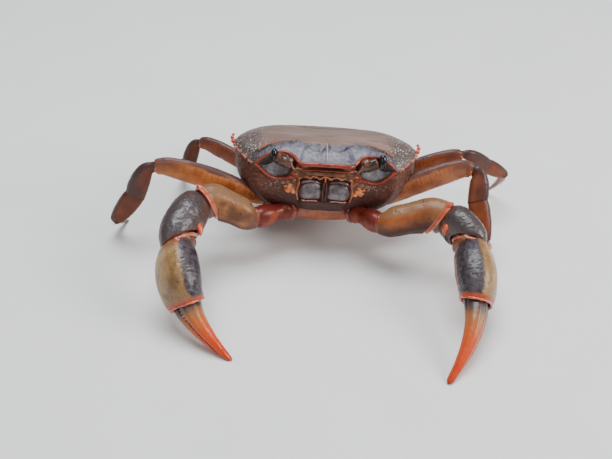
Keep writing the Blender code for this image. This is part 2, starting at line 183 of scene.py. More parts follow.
def ringPiece(name, points, material, slotName, *nodes, paint=None, side=None):
    # rows of closed rings, both ends closed on a middle point; a side means that they are in the body's frame
    points = np.asarray(points, float) if side is None else toWorld(points, side)
    rows, columns = points.shape[:2]
    flat = np.vstack([points.reshape(-1, 3), points[0].mean(0), points[-1].mean(0)])
    k, base = np.arange(columns), np.arange(rows - 1)[:, None] * columns
    n, end, middle = (k + 1) % columns, (rows - 1) * columns, rows * columns + 0 * k
    quads = np.stack([base + k, base + n, base + n + columns, base + k + columns], -1).reshape(-1, 4)
    caps = np.vstack([np.stack([middle, n, k], -1), np.stack([middle + 1, end + k, end + n], -1)])
    v = flat[quads]
    volume = np.sum(v[:, 0] * (np.cross(v[:, 1], v[:, 2]) + np.cross(v[:, 2], v[:, 3])))
    order = -1 if volume < 0 else 1
    mesh = bpy.data.meshes.new(name)
    mesh.from_pydata((flat * mm).tolist(), [], [face[::order] for face in quads.tolist() + caps.tolist()])
    for key, values in (paint or {}).items():
        values = np.broadcast_to(np.asarray(values, float), (rows, columns))
        addLayer(mesh, key, [*values.ravel(), values[0].mean(), values[-1].mean()])
    mesh.shade_smooth()
    mesh.materials.append(finish[material])
    return settle(linked(name, mesh), slotName, *nodes)


def tubeAlong(path, width, height, up, columns=20, power=2.0):
    # rings of a closed tube along a path; width and height are half sizes, one value or one per point
    ahead = unit(np.gradient(path, axis=0))
    across = unit(np.cross(ahead, np.broadcast_to(np.asarray(up, float), path.shape)))
    lift = np.cross(across, ahead)
    a, c, s = ringSection(columns, power)
    width, height = (np.broadcast_to(v, (len(path),))[:, None, None] for v in (width, height))
    return path[:, None] + lift[:, None] * (c[:, None] * height) + across[:, None] * (s[:, None] * width)


def roundEnds(count, ends=0.08):
    # 0 to 1 and back to 0, so that a tube closes in a dome at both ends
    t = np.linspace(0, 1, count)
    near = np.clip(np.minimum(t, 1 - t) / ends, 0, 1)
    return np.sqrt(np.clip(1 - (1 - near) ** 2, 0.0004, 1))


def blob(centre, radii, axes=None, rows=24, columns=32):
    # rings of an ellipsoid
    v, u = np.linspace(0.04, pi - 0.04, rows), np.linspace(0, 2 * pi, columns, endpoint=False)
    p = np.stack([np.outer(np.sin(v), np.cos(u)), np.outer(np.sin(v), np.sin(u)),
                  np.outer(np.cos(v), np.ones(columns))], axis=2) * radii
    return (p if axes is None else p @ np.array(axes)) + np.asarray(centre, float)


# Geometry Nodes

def addNode(tree, kind, inputs=None, output=0, **settings):
    # sets the settings, then the inputs by name or number, and gives back one output
    node = tree.nodes.new(kind)
    for key, value in settings.items():
        setattr(node, key, value)
    for key, value in (inputs or {}).items():
        if isinstance(value, bpy.types.NodeSocket):
            tree.links.new(value, node.inputs[key])
        else:
            node.inputs[key].default_value = value
    return node.outputs[output]


def mathOf(tree, operation, *values):
    return addNode(tree, "ShaderNodeMath", dict(enumerate(values)), operation=operation)


def treeWith(name, **sockets):
    # a tree with named inputs, and the function that ends it in real, smooth, dressed geometry
    tree = bpy.data.node_groups.new(name, "GeometryNodeTree")
    kinds = {float: "Float", bool: "Bool", int: "Int", type(None): "Vector"}
    rows = [(key, kinds[type(value)], value) for key, value in sockets.items()]
    for label, kind, value in [("Geometry", "Geometry", None), *rows, ("Finish", "Material", None)]:
        socket = tree.interface.new_socket(label, in_out="INPUT", socket_type="NodeSocket" + kind)
        if value is not None:
            socket.default_value = value
    tree.interface.new_socket("Geometry", in_out="OUTPUT", socket_type="NodeSocketGeometry")
    given, result = tree.nodes.new("NodeGroupInput").outputs, tree.nodes.new("NodeGroupOutput")

    def close(geometry):
        for kind in ("RealizeInstances", "SetShadeSmooth"):
            geometry = addNode(tree, "GeometryNode" + kind, {"Geometry": geometry})
        dressed = addNode(tree, "GeometryNodeSetMaterial", {
            "Geometry": geometry, "Material": given["Finish"]})
        tree.links.new(dressed, result.inputs[0])
        return tree

    return tree, given, close


def attributeOf(tree, name, kind="FLOAT"):
    return addNode(tree, "GeometryNodeInputNamedAttribute", {"Name": name}, "Attribute", data_type=kind)


def setOnPoints(tree, points, shape, rotation, wide, tall):
    size = addNode(tree, "ShaderNodeCombineXYZ", {"X": wide, "Y": wide, "Z": tall})
    return addNode(tree, "GeometryNodeInstanceOnPoints", {"Points": points, "Instance": shape,
                                                          "Rotation": rotation, "Scale": size})


def makeRowTree():
    # beads, teeth or bristles set along a line, pointing the way its points say
    tree, given, close = treeWith("rowAlongLine", Spacing=0.001, Size=0.0003, Reach=1.0, Jitter=0.3,
                                  Wander=0.1, Pointed=False, Seed=1)
    line = addNode(tree, "GeometryNodeMeshToCurve", {"Mesh": given["Geometry"]})
    even = addNode(tree, "GeometryNodeResampleCurve", {"Curve": line, "Length": given["Spacing"]},
                   mode="LENGTH")
    bead = addNode(tree, "GeometryNodeMeshIcoSphere", {"Radius": 1.0, "Subdivisions": 2})
    spike = addNode(tree, "GeometryNodeMeshCone", {"Vertices": 6, "Side Segments": 2, "Radius Top": 0.06,
                                                   "Radius Bottom": 1.0, "Depth": 2.0})
    lifted = addNode(tree, "GeometryNodeTransform", {"Geometry": spike, "Translation": (0.0, 0.0, -0.3)})
    shape = addNode(tree, "GeometryNodeSwitch", {"Switch": given["Pointed"], "False": bead, "True": lifted},
                    input_type="GEOMETRY")
    stray = addNode(tree, "FunctionNodeRandomValue", {
        "Min": (-1, -1, -1), "Max": (1, 1, 1), "Seed": given["Seed"]}, data_type="FLOAT_VECTOR")
    stray = addNode(tree, "ShaderNodeVectorMath", {0: stray, "Scale": given["Wander"]}, operation="SCALE")
    aim = addNode(tree, "ShaderNodeVectorMath", {0: attributeOf(tree, "facing", "FLOAT_VECTOR"), 1: stray},
                  operation="ADD")
    turned = addNode(tree, "FunctionNodeAlignRotationToVector", {"Vector": aim}, axis="Z")
    low, high = (mathOf(tree, operation, 1.0, given["Jitter"]) for operation in ("SUBTRACT", "ADD"))
    chance = addNode(tree, "FunctionNodeRandomValue", {2: low, 3: high, "Seed": given["Seed"]}, 1,
                     data_type="FLOAT")
    wide = mathOf(tree, "MULTIPLY", mathOf(tree, "MULTIPLY", chance, given["Size"]),
                  attributeOf(tree, "grow"))
    tall = mathOf(tree, "MULTIPLY", wide, given["Reach"])
    return close(setOnPoints(tree, even, shape, turned, wide, tall))


def makeGranuleTree():
    # low grains scattered over a skin where its "grain" value is high
    tree, given, close = treeWith("granulesOnSkin", Density=3000000.0, Apart=0.0003, Size=0.0002, Flat=0.6,
                                  Seed=1)
    spots = addNode(tree, "GeometryNodeDistributePointsOnFaces", {
        "Mesh": given["Geometry"], "Distance Min": given["Apart"], "Density Max": given["Density"],
        "Density Factor": attributeOf(tree, "grain"), "Seed": given["Seed"]}, distribute_method="POISSON")
    bead = addNode(tree, "GeometryNodeMeshIcoSphere", {"Radius": 1.0, "Subdivisions": 1})
    chance = addNode(tree, "FunctionNodeRandomValue", {2: 0.5, 3: 1.1, "Seed": given["Seed"]}, 1,
                     data_type="FLOAT")
    wide = mathOf(tree, "MULTIPLY", chance, given["Size"])
    tall = mathOf(tree, "MULTIPLY", wide, given["Flat"])
    return close(setOnPoints(tree, spots, bead, spots.node.outputs["Rotation"], wide, tall))


def makeToeTree():
    # a curved, ribbed, tapering toe swept along a bow through three points
    tree, given, close = treeWith("taperedToe", Root=None, Knee=None, Tip=None, Thick=0.001, Point=0.2,
                                  Rib=0.08)
    line = addNode(tree, "GeometryNodeCurveQuadraticBezier", {
        "Resolution": 72, "Start": given["Root"], "Middle": given["Knee"], "End": given["Tip"]})
    along, around = (addNode(tree, "GeometryNodeSplineParameter") for k in range(2))
    taper = addNode(tree, "ShaderNodeMapRange", {"Value": along, "From Min": 0.0, "From Max": 1.0,
                                                 "To Min": 1.0, "To Max": given["Point"]})
    line = addNode(tree, "GeometryNodeStoreNamedAttribute", {
        "Geometry": line, "Name": "along", "Value": along}, data_type="FLOAT", domain="POINT")
    loop = addNode(tree, "GeometryNodeCurvePrimitiveCircle", {"Resolution": 40, "Radius": 1.0})
    ribs = mathOf(tree, "COSINE", mathOf(tree, "MULTIPLY", around, 8 * pi))
    swell = mathOf(tree, "MULTIPLY_ADD", ribs, given["Rib"], 1.0)
    moved = addNode(tree, "ShaderNodeVectorMath", {
        0: addNode(tree, "GeometryNodeInputPosition"), "Scale": swell}, operation="SCALE")
    loop = addNode(tree, "GeometryNodeSetPosition", {"Geometry": loop, "Position": moved})
    return close(addNode(tree, "GeometryNodeCurveToMesh", {
        "Curve": line, "Profile Curve": loop, "Scale": mathOf(tree, "MULTIPLY", taper, given["Thick"]),
        "Fill Caps": True}))


def grow(name, mesh, tree, **settings):
    # run a tree on a mesh and keep the result as a plain mesh
    source = linked("source", mesh)
    modifier = source.modifiers.new("build", "NODES")
    modifier.node_group = tree
    for item in tree.interface.items_tree:
        if item.item_type == "SOCKET" and item.in_out == "INPUT" and item.name in settings:
            modifier[item.identifier] = settings[item.name]
    bpy.context.view_layer.update()
    made = bpy.data.meshes.new_from_object(source.evaluated_get(bpy.context.evaluated_depsgraph_get()))
    source.modifiers.remove(modifier)
    bpy.data.objects.remove(source)
    made.name = name
    return linked(name, made)


def rowOf(name, lines, material, slotName, spacing, size, reach=1.0, jitter=0.3, wander=0.1, pointed=False,
          seed=1):
    # a row along each line; a line is (points, facing, size), in world millimetres
    points, edges, facing, sizes = [], [], [], []
    for line, way, big in lines:
        edges += [(len(points) + i, len(points) + i + 1) for i in range(len(line) - 1)]
        points += (np.asarray(line, float) * mm).tolist()
        facing += list(np.broadcast_to(np.asarray(way, float), np.shape(line)))
        sizes += list(np.broadcast_to(big, (len(line),)))
    mesh = bpy.data.meshes.new("line")
    mesh.from_pydata(points, edges, [])
    addLayer(mesh, "facing", facing, "FLOAT_VECTOR")
    addLayer(mesh, "grow", sizes)
    settle(grow(name, mesh, rowTree, Spacing=spacing * mm, Size=size * mm, Reach=reach, Jitter=jitter,
                Wander=wander, Pointed=pointed, Seed=seed, Finish=finish[material]), slotName)


def grainsOn(piece, name, size, apart, seed):
    settle(grow(name, piece.data, granuleTree, Density=9000000.0, Apart=apart * mm, Size=size * mm, Flat=0.55,
                Seed=seed, Finish=finish["grit"]), "shell")


# finishes

class Finish:
    # the nodes of one material; paint() lays a colour over what is there, where its mask is 1
    def __init__(self, name, roughness=0.4, coat=0.0, coatRoughness=0.12, softness=0.0, sheen=0.0, shine=0.5):
        self.material = bpy.data.materials.new(name)
        self.material.use_nodes = True
        self.tree = self.material.node_tree
        self.sockets = self.tree.nodes["Principled BSDF"].inputs
        for key, value in {"Roughness": roughness, "Coat Weight": coat, "Coat Roughness": coatRoughness,
                           "Subsurface Weight": softness, "Subsurface Radius": (1.0, 0.35, 0.15),
                           "Subsurface Scale": 0.0012, "Sheen Weight": sheen,
                           "Specular IOR Level": shine}.items():
            self.sockets[key].default_value = value
        self.spot = addNode(self.tree, "ShaderNodeTexCoord", output="Object")

    def noise(self, scale, detail=4.0, roughness=0.55, stretch=None):
        spot = self.spot
        if stretch:
            spot = addNode(self.tree, "ShaderNodeMapping", {"Vector": spot, "Scale": stretch})
        return addNode(self.tree, "ShaderNodeTexNoise", {"Vector": spot, "Scale": scale, "Detail": detail,
                                                         "Roughness": roughness}, "Fac")

    def cells(self, scale):
        return addNode(self.tree, "ShaderNodeTexVoronoi", {"Vector": self.spot, "Scale": scale}, "Distance")

    def value(self, name):
        return addNode(self.tree, "ShaderNodeAttribute", output="Fac", attribute_name=name)

    def step(self, value, low, high, start=0.0, end=1.0):
        return addNode(self.tree, "ShaderNodeMapRange", {
            "Value": value, "From Min": low, "From Max": high, "To Min": start, "To Max": end},
            interpolation_type="SMOOTHSTEP")

    def times(self, a, b):
        return mathOf(self.tree, "MULTIPLY", a, b)

    def scaled(self, a, scale, plus):
        return mathOf(self.tree, "MULTIPLY_ADD", a, scale, plus)

    def swayed(self, a, noise, scale):
        return self.scaled(mathOf(self.tree, "SUBTRACT", noise, 0.5), scale, a)

    def mix(self, mask, a, b):
        a, b = ((*v, 1) if isinstance(v, tuple) else v for v in (a, b))
        return addNode(self.tree, "ShaderNodeMix", {0: mask, 6: a, 7: b}, 2, data_type="RGBA")

    def paint(self, mask, colour):
        self.colour = self.mix(mask, self.colour, colour)

    def done(self, *bumps, roughness=None):
        # each bump is (height, strength, distance), and builds on the one before
        self.tree.links.new(self.colour, self.sockets["Base Color"])
        if roughness:
            self.tree.links.new(roughness, self.sockets["Roughness"])
        before = {}
        for height, strength, distance in bumps:
            before = {"Normal": addNode(self.tree, "ShaderNodeBump", {
                "Height": height, "Strength": strength, "Distance": distance, **before})}
            self.tree.links.new(before["Normal"], self.sockets["Normal"])
        return self.material


def shellFinish():
    # matt taupe behind, slaty and polished in front of the crests, gritty at the front corners, painted shade
    # and highlight at the crests
    chalkAndHighlight = (0.50, 0.45, 0.43)
    f = Finish("shellBack", 0.5, 0.12, 0.35, shine=0.4)
    wide, streak = f.noise(90, 3), f.noise(260, 5, 0.6, (0.25, 1.6, 1.0))
    fine, dots = f.noise(2200, 3, 0.6), f.cells(1500)
    mottle = f.scaled(streak, 0.6, f.times(wide, 0.5))
    f.colour = f.mix(f.step(mottle, 0.38, 0.72), (0.155, 0.095, 0.074), (0.255, 0.165, 0.132))
    f.paint(f.times(f.value("rear"), f.step(mottle, 0.75, 0.35, 0.6)), (0.095, 0.054, 0.040))
    slate = f.mix(f.step(f.noise(900), 0.35, 0.62), (0.060, 0.052, 0.066), (0.140, 0.132, 0.176))
    slate = f.mix(f.step(f.noise(3200, 4, 0.7, (0.5, 0.5, 1.6)), 0.60, 0.72, 0.0, 0.55), slate, chalkAndHighlight)
    front = f.step(f.swayed(f.value("front"), wide, 0.5), 0.3, 0.62)
    f.paint(front, slate)
    grit = f.mix(f.step(f.cells(1250), 0.34, 0.16), (0.060, 0.042, 0.036), (0.52, 0.44, 0.40))
    f.paint(f.times(f.value("grain"), 0.9), grit)
    f.paint(f.value("blush"), (0.34, 0.080, 0.040))
    # painted shadow: near black on the crests' front steps and on the turned-in edge under the margin
    f.paint(f.value("paintedShade"), (0.018, 0.012, 0.011))
    # pale chalk along the middle groove, and a painted highlight along the crests' tops
    f.paint(f.times(f.value("chalkAndHighlight"), 0.8), chalkAndHighlight)
    f.paint(f.step(dots, 0.18, 0.05, 0.0, 0.35), (0.06, 0.045, 0.04))
    return f.done((fine, 0.35, 0.00006), (dots, 0.25, 0.00012),
                  roughness=f.scaled(front, -0.16, f.scaled(fine, 0.25, 0.40)))


def wallFinish():
    # brown flanks with fine lines, near black below, glossy grey orbits paled as painted light, painted shade
    # in the mouth
    dark, gap = (0.095, 0.032, 0.021), (0.045, 0.014, 0.011)
    f = Finish("shellFlank", 0.5, 0.05, 0.2, shine=0.3)
    lines, speck, hollow = f.noise(420, 5, 0.65, (0.6, 0.6, 1.9)), f.cells(1300), f.value("hollow")
    f.colour = f.mix(f.step(lines, 0.32, 0.66), dark, (0.200, 0.072, 0.040))
    f.paint(f.step(f.value("low"), 0.42, 0.95), (0.050, 0.013, 0.011))
    f.paint(f.step(speck, 0.30, 0.55, 0.0, 0.55), gap)
    f.paint(f.times(f.value("grain"), 0.85), f.mix(f.step(speck, 0.36, 0.18), dark, (0.42, 0.32, 0.27)))
    # the orbit floor's grey, made pale as painted light against the shade of the hollow
    orbitGreyWithPaintedLight = f.mix(f.step(f.noise(500, 3), 0.4, 0.65), (0.30, 0.28, 0.29), (0.55, 0.55, 0.60))
    f.paint(f.step(hollow, 0.1, 0.7), orbitGreyWithPaintedLight)
    slime = f.mix(f.step(f.noise(650), 0.4, 0.62), dark, (0.22, 0.085, 0.035))
    f.paint(f.step(f.value("face"), 0.2, 0.9), slime)
    # painted shade in the mouth's recess, darkest under the lip
    f.paint(f.value("gap"), gap)
    return f.done((lines, 0.5, 0.00022), (speck, 0.5, 0.00016),
                  roughness=f.scaled(hollow, -0.2, f.scaled(lines, 0.3, 0.36)))


def limbFinish(name, face, faceDark, rear, back, belly, dot, band, bandStrength, edgeLow, edgeHigh, stripes,
               dotScale, shine=0.5, gloss=0.45, specks=0.5, lines=0.5, roughness=0.4,
               bellyReach=(-0.62, -0.9), rough=0.00006):
    # a limb: dark along its back edge, paler on its face, lined across near the edge, banded at its far end
    f = Finish(name, roughness, gloss, 0.14, 0.10, shine=shine)
    dorsal, front, along = f.value("dorsal"), f.value("front"), f.value("along")
    wide, fine, dots = f.noise(160), f.noise(900, 4, 0.6), f.cells(dotScale)
    f.colour = f.mix(f.step(wide, 0.36, 0.66), faceDark, face)
    f.paint(f.step(front, 0.25, -0.5, 0.0, 0.7), rear)
    edge = f.swayed(dorsal, wide, 0.9)
    f.paint(f.step(edge, edgeLow, edgeHigh), back)
    f.paint(f.step(f.swayed(dorsal, fine, 0.3), *bellyReach, 0.0, 0.85), belly)
    stripe = mathOf(f.tree, "SINE", f.scaled(along, stripes, f.times(fine, 5.0)))
    f.paint(f.times(f.step(stripe, 0.2, 0.9, 0.0, lines),
                    f.times(f.step(dorsal, -0.35, 0.5), f.step(dorsal, 0.98, 0.7))), back)
    f.paint(f.step(dots, 0.22, 0.08, 0.0, specks), dot)
    f.paint(f.times(f.step(along, 0.70, 0.95), f.step(edge, -0.2, 0.6, 0.0, 0.8)), back)
    f.paint(f.step(along, 0.955, 0.985, 0.0, bandStrength), band)
    return f.done((fine, 0.35, 0.00016), (dots, 0.25, 0.00012), (f.noise(2400, 2), 0.5, rough),
                  roughness=f.scaled(fine, 0.28, roughness - 0.14))


def handFinish():
    # slaty polished top, tan outer face, orange inner face, red-orange rim by the fingers
    ink, orange = (0.018, 0.013, 0.015), (0.16, 0.032, 0.007)
    f = Finish("handShell", 0.3, 0.25, 0.14, 0.08, shine=0.4)
    dorsal, outer, along = f.value("dorsal"), f.value("front"), f.value("along")
    wide, fine, dots = f.noise(220), f.noise(1000, 4, 0.6), f.cells(700)
    swayedDorsal = f.swayed(dorsal, wide, 0.35)
    tanFace = f.mix(f.step(wide, 0.35, 0.68), (0.17, 0.085, 0.030), (0.37, 0.215, 0.078))
    f.colour = f.mix(f.step(fine, 0.35, 0.7), (0.09, 0.022, 0.007), orange)
    f.paint(f.step(outer, -0.25, 0.1), tanFace)
    slate = f.mix(f.step(fine, 0.34, 0.6), ink, (0.062, 0.048, 0.056))
    crest = f.scaled(outer, -0.24, swayedDorsal)
    f.paint(f.step(crest, 0.70, 0.86), slate)
    # a pale broken line along the slate's inner edge
    edge = f.times(f.step(crest, 0.60, 0.70), f.step(crest, 0.84, 0.74))
    edge = f.times(edge, f.step(outer, 0.0, -0.3, 0.0, 0.8))
    f.paint(f.times(edge, f.step(fine, 0.45, 0.6)), (0.45, 0.30, 0.19))
    # painted shade: the palm's top darkened at its root, under the edge of the wrist
    f.paint(f.times(f.step(along, 0.16, 0.02), f.step(dorsal, -0.2, 0.5, 0.0, 0.7)), ink)
    f.paint(f.step(dots, 0.16, 0.05, 0.0, 0.75), (0.035, 0.018, 0.012))
    f.paint(f.step(swayedDorsal, -0.55, -0.9, 0.0, 0.7), orange)
    f.paint(f.step(f.swayed(along, wide, 0.042), 0.90, 0.965), (0.36, 0.050, 0.014))
    return f.done((dots, 0.45, 0.00022), (fine, 0.5, 0.00022), (f.noise(2600, 2), 0.6, 0.00016),
                  roughness=f.scaled(fine, 0.3, 0.2))


def fingerFinish():
    # slate at the knuckle, then orange, deep red-orange towards the tip, horn at the very tip
    stops = [(0.0, (0.045, 0.032, 0.036)), (0.14, (0.065, 0.042, 0.040)), (0.27, (0.30, 0.115, 0.034)),
             (0.45, (0.47, 0.095, 0.016)), (0.70, (0.56, 0.055, 0.007)), (0.93, (0.50, 0.038, 0.004)),
             (0.985, (0.30, 0.035, 0.008))]
    f = Finish("fingerShell", 0.30, 0.2, 0.08, 0.12, shine=0.3)
    along, fine, dots = f.value("along"), f.noise(700, 4, 0.6), f.cells(900)
    f.colour = addNode(f.tree, "ShaderNodeValToRGB", {"Fac": f.swayed(along, fine, 0.16)}, "Color")
    marks = f.colour.node.color_ramp.elements
    while len(marks) < len(stops):
        marks.new(0.5)
    for mark, (place, colour) in zip(marks, stops):
        mark.position, mark.color = place, (*colour, 1)
    f.paint(f.times(f.step(dots, 0.2, 0.06, 0.0, 0.5), f.step(along, 0.7, 0.2)), (0.06, 0.03, 0.03))
    f.paint(f.step(f.value("dorsal"), 0.1, -0.6, 0.0, 0.45), (0.30, 0.04, 0.012))
    return f.done((dots, 0.35, 0.00018), (fine, 0.3, 0.00014))


def coralFinish(name, bright, deep, roughness=0.3, coat=0.6):
    # polished red-orange edges, darker in spots
    f = Finish(name, roughness, coat, 0.1, 0.12)
    f.colour = f.mix(f.step(f.noise(500), 0.35, 0.68), deep, bright)
    f.paint(f.step(f.noise(1500, 3), 0.60, 0.78, 0.0, 0.5), (0.10, 0.02, 0.012))
    return f.done((f.noise(1600, 3), 0.25, 0.0001))


def plainFinish(name, light, dark, roughness=0.4, coat=0.2, scale=600, softness=0.0, sheen=0.0, grain=0.3):
    # two tones of one colour, with a fine grain
    f = Finish(name, roughness, coat, 0.15, softness, sheen)
    f.colour = f.mix(f.step(f.noise(scale), 0.34, 0.66), dark, light)
    return f.done((f.noise(scale * 2.4, 3), grain, 0.00012))


def edgedFinish(name, middle, shade, edge, roughness=0.32, coat=0.4):
    # a plate that is pale in the middle, with a coloured rim
    f = Finish(name, roughness, coat, 0.12, 0.05)
    cloud = f.noise(500)
    f.colour = f.mix(f.step(cloud, 0.35, 0.65), shade, middle)
    f.paint(f.step(f.swayed(f.value("rim"), cloud, 0.25), 0.68, 0.92), edge)
    return f.done((f.noise(1300, 3), 0.3, 0.00012))


finish = {"back": shellFinish(), "flank": wallFinish(), "hand": handFinish(), "finger": fingerFinish()}
for make, rows in (
        # name, bright, deep, roughness, coat
        (coralFinish, {
            "coral": ("coralEdge", (0.33, 0.034, 0.009), (0.17, 0.015, 0.005), 0.32, 0.12),
            "spine": ("salmonSpine", (0.66, 0.12, 0.07), (0.45, 0.045, 0.02), 0.35, 0.4),
            "bead": ("marginBead", (0.42, 0.17, 0.12), (0.20, 0.07, 0.05), 0.4, 0.3),
            "knuckle": ("knuckleOrange", (0.66, 0.12, 0.045), (0.42, 0.05, 0.016), 0.25, 0.8),
            "salmon": ("salmonBand", (0.55, 0.17, 0.09), (0.34, 0.07, 0.03), 0.22, 0.8),
            "lip": ("mouthLip", (0.50, 0.14, 0.035), (0.30, 0.06, 0.018), 0.35, 0.3),
            "hinge": ("kneeOrange", (0.50, 0.12, 0.035), (0.26, 0.05, 0.016), 0.3, 0.5)}),
        # name, light, dark, roughness, coat, scale, softness, sheen, grain
        (plainFinish, {
            "olive": ("oliveSkin", (0.23, 0.095, 0.035), (0.085, 0.034, 0.018), 0.4, 0.2, 700),
            "grit": ("gritGrain", (0.34, 0.28, 0.25), (0.12, 0.09, 0.08), 0.35, 0.3, 900),
            "eye": ("eyeCover", (0.010, 0.007, 0.007), (0.003, 0.003, 0.003), 0.08, 0.0, 900, 0.0, 0.0, 0.0),
            "stalk": ("eyeStalk", (0.120, 0.036, 0.015), (0.016, 0.007, 0.005), 0.28, 0.15, 600, 0.0, 0.0,
                      0.5),
            # pale pink glints at the foot of the jaw plates, a painted highlight
            "pinkGlint": ("jawGlint", (0.50, 0.22, 0.17), (0.28, 0.09, 0.065), 0.25, 0.6, 900, 0.1),
            "membrane": ("jointSkin", (0.26, 0.018, 0.012), (0.11, 0.012, 0.010), 0.3, 0.6, 500, 0.1),
            "amberSkin": ("wristSkin", (0.22, 0.065, 0.018), (0.10, 0.028, 0.012), 0.35, 0.4, 500, 0.1),
            "darkSkin": ("kneeSkin", (0.12, 0.035, 0.022), (0.045, 0.014, 0.010), 0.35, 0.4, 700, 0.05),
            "tuft": ("mouthTuft", (0.88, 0.25, 0.060), (0.40, 0.08, 0.02), 0.55, 0.0, 700, 0.1, 0.3),
            "bristle": ("legBristle", (0.10, 0.05, 0.03), (0.04, 0.02, 0.012), 0.5, 0.1),
            "horn": ("toeHorn", (0.30, 0.13, 0.06), (0.12, 0.05, 0.025), 0.3, 0.4),
            "tooth": ("fingerTooth", (0.55, 0.20, 0.10), (0.30, 0.07, 0.03), 0.3, 0.5)}),
        # name, middle, shade, edge, roughness, coat
        (edgedFinish, {
            "jaw": ("jawPlate", (0.160, 0.124, 0.130), (0.050, 0.036, 0.038), (0.11, 0.018, 0.012)),
            "breast": ("breastPlate", (0.38, 0.095, 0.026), (0.22, 0.050, 0.016), (0.12, 0.03, 0.014), 0.4,
                       0.15),
            "jawFoot": ("jawFootPlate", (0.090, 0.026, 0.022), (0.050, 0.014, 0.012), (0.03, 0.009, 0.008),
                        0.5, 0.1)}),
        # name, face, faceDark, rear, back, belly, dot, band, then bandStrength, edgeLow, edgeHigh, stripes,
        # dotScale, shine, gloss, specks, lines, roughness, bellyReach, rough
        (limbFinish, {
            "leg": ("legShell", (0.60, 0.205, 0.055), (0.34, 0.092, 0.024), (0.26, 0.085, 0.030),
                    (0.095, 0.040, 0.034), (0.42, 0.09, 0.022), (0.10, 0.03, 0.014), (0.30, 0.085, 0.03),
                    0.3, 0.66, 0.94, 120.0, 1100, 0.25, 0.2, 0.4, 0.22),
            "legTan": ("legTanShell", (0.44, 0.150, 0.060), (0.25, 0.066, 0.026), (0.24, 0.08, 0.035),
                       (0.100, 0.038, 0.028), (0.34, 0.08, 0.03), (0.10, 0.03, 0.014), (0.26, 0.07, 0.03),
                       0.3, 0.66, 0.94, 120.0, 1100, 0.25, 0.2, 0.4, 0.22),
            # a darker copy of the leg's finish for the legs further back, painted shade
            "shadedLegBehind": ("shadedLegBehindShell", (0.30, 0.068, 0.014), (0.17, 0.036, 0.009), (0.16, 0.045, 0.016),
                          (0.085, 0.030, 0.024), (0.26, 0.05, 0.012), (0.08, 0.022, 0.010),
                          (0.20, 0.05, 0.02), 0.3, 0.62, 0.92, 120.0, 1100, 0.25, 0.15, 0.4, 0.3),
            "shin": ("shinShell", (0.15, 0.038, 0.014), (0.080, 0.024, 0.015), (0.11, 0.04, 0.022),
                     (0.062, 0.030, 0.027), (0.15, 0.04, 0.016), (0.05, 0.02, 0.012), (0.05, 0.015, 0.010),
                     0.7, 0.10, 0.70, 60.0, 1200, 0.2, 0.2, 0.3, 0.2),
            "foot": ("footShell", (0.22, 0.046, 0.010), (0.12, 0.028, 0.009), (0.14, 0.04, 0.018),
                     (0.080, 0.030, 0.022), (0.20, 0.042, 0.012), (0.05, 0.02, 0.012), (0.08, 0.025, 0.014),
                     0.7, 0.45, 0.90, 60.0, 1200, 0.2, 0.15, 0.3, 0.2),
            "toe": ("toeShell", (0.28, 0.09, 0.03), (0.15, 0.045, 0.018), (0.20, 0.07, 0.03),
                    (0.09, 0.04, 0.025), (0.24, 0.07, 0.025), (0.08, 0.03, 0.015), (0.12, 0.05, 0.03),
                    0.4, 0.5, 0.9, 40.0, 1300),
            "armRoot": ("armRootShell", (0.27, 0.050, 0.020), (0.08, 0.009, 0.006), (0.16, 0.03, 0.015),
                        (0.12, 0.014, 0.010), (0.24, 0.024, 0.008), (0.08, 0.012, 0.010), (0.44, 0.05, 0.016),
                        1.0, 0.60, 0.95, 0.0, 800, 0.2, 0.12, 0.3, 0.0, 0.35),
            "arm": ("armShell", (0.48, 0.195, 0.060), (0.14, 0.052, 0.025), (0.20, 0.08, 0.04),
                    (0.20, 0.100, 0.046), (0.10, 0.026, 0.019), (0.06, 0.022, 0.014), (0.52, 0.07, 0.02),
                    1.0, 0.65, 0.95, 0.0, 420, 0.25, 0.12, 0.85, 0.0, 0.4, (-0.15, -0.70)),
            # a darker copy of the arm's finish for the left arm, painted shade, its near black underside
            # reaching high as a painted shadow
            "shadedArm": ("shadedArmShell", (0.34, 0.095, 0.022), (0.13, 0.034, 0.013), (0.18, 0.06, 0.025),
                        (0.22, 0.100, 0.040), (0.032, 0.007, 0.005), (0.07, 0.02, 0.012), (0.50, 0.07, 0.02),
                        1.0, 0.65, 0.95, 0.0, 420, 0.25, 0.12, 0.85, 0.0, 0.4, (0.30, -0.30)),
            "wrist": ("wristShell", (0.105, 0.055, 0.030), (0.050, 0.028, 0.020), (0.085, 0.045, 0.035),
                      (0.050, 0.034, 0.034), (0.22, 0.07, 0.03), (0.02, 0.014, 0.013), (0.10, 0.03, 0.02),
                      0.6, 0.2, 0.8, 0.0, 900, 0.5, 0.35, 0.5, 0.0, 0.34, (-0.62, -0.9), 0.00030)})):
    finish.update({key: make(*row) for key, row in rows.items()})
rowTree, granuleTree, toeTree = makeRowTree(), makeGranuleTree(), makeToeTree()
print("finishes and node trees ready")


# shell

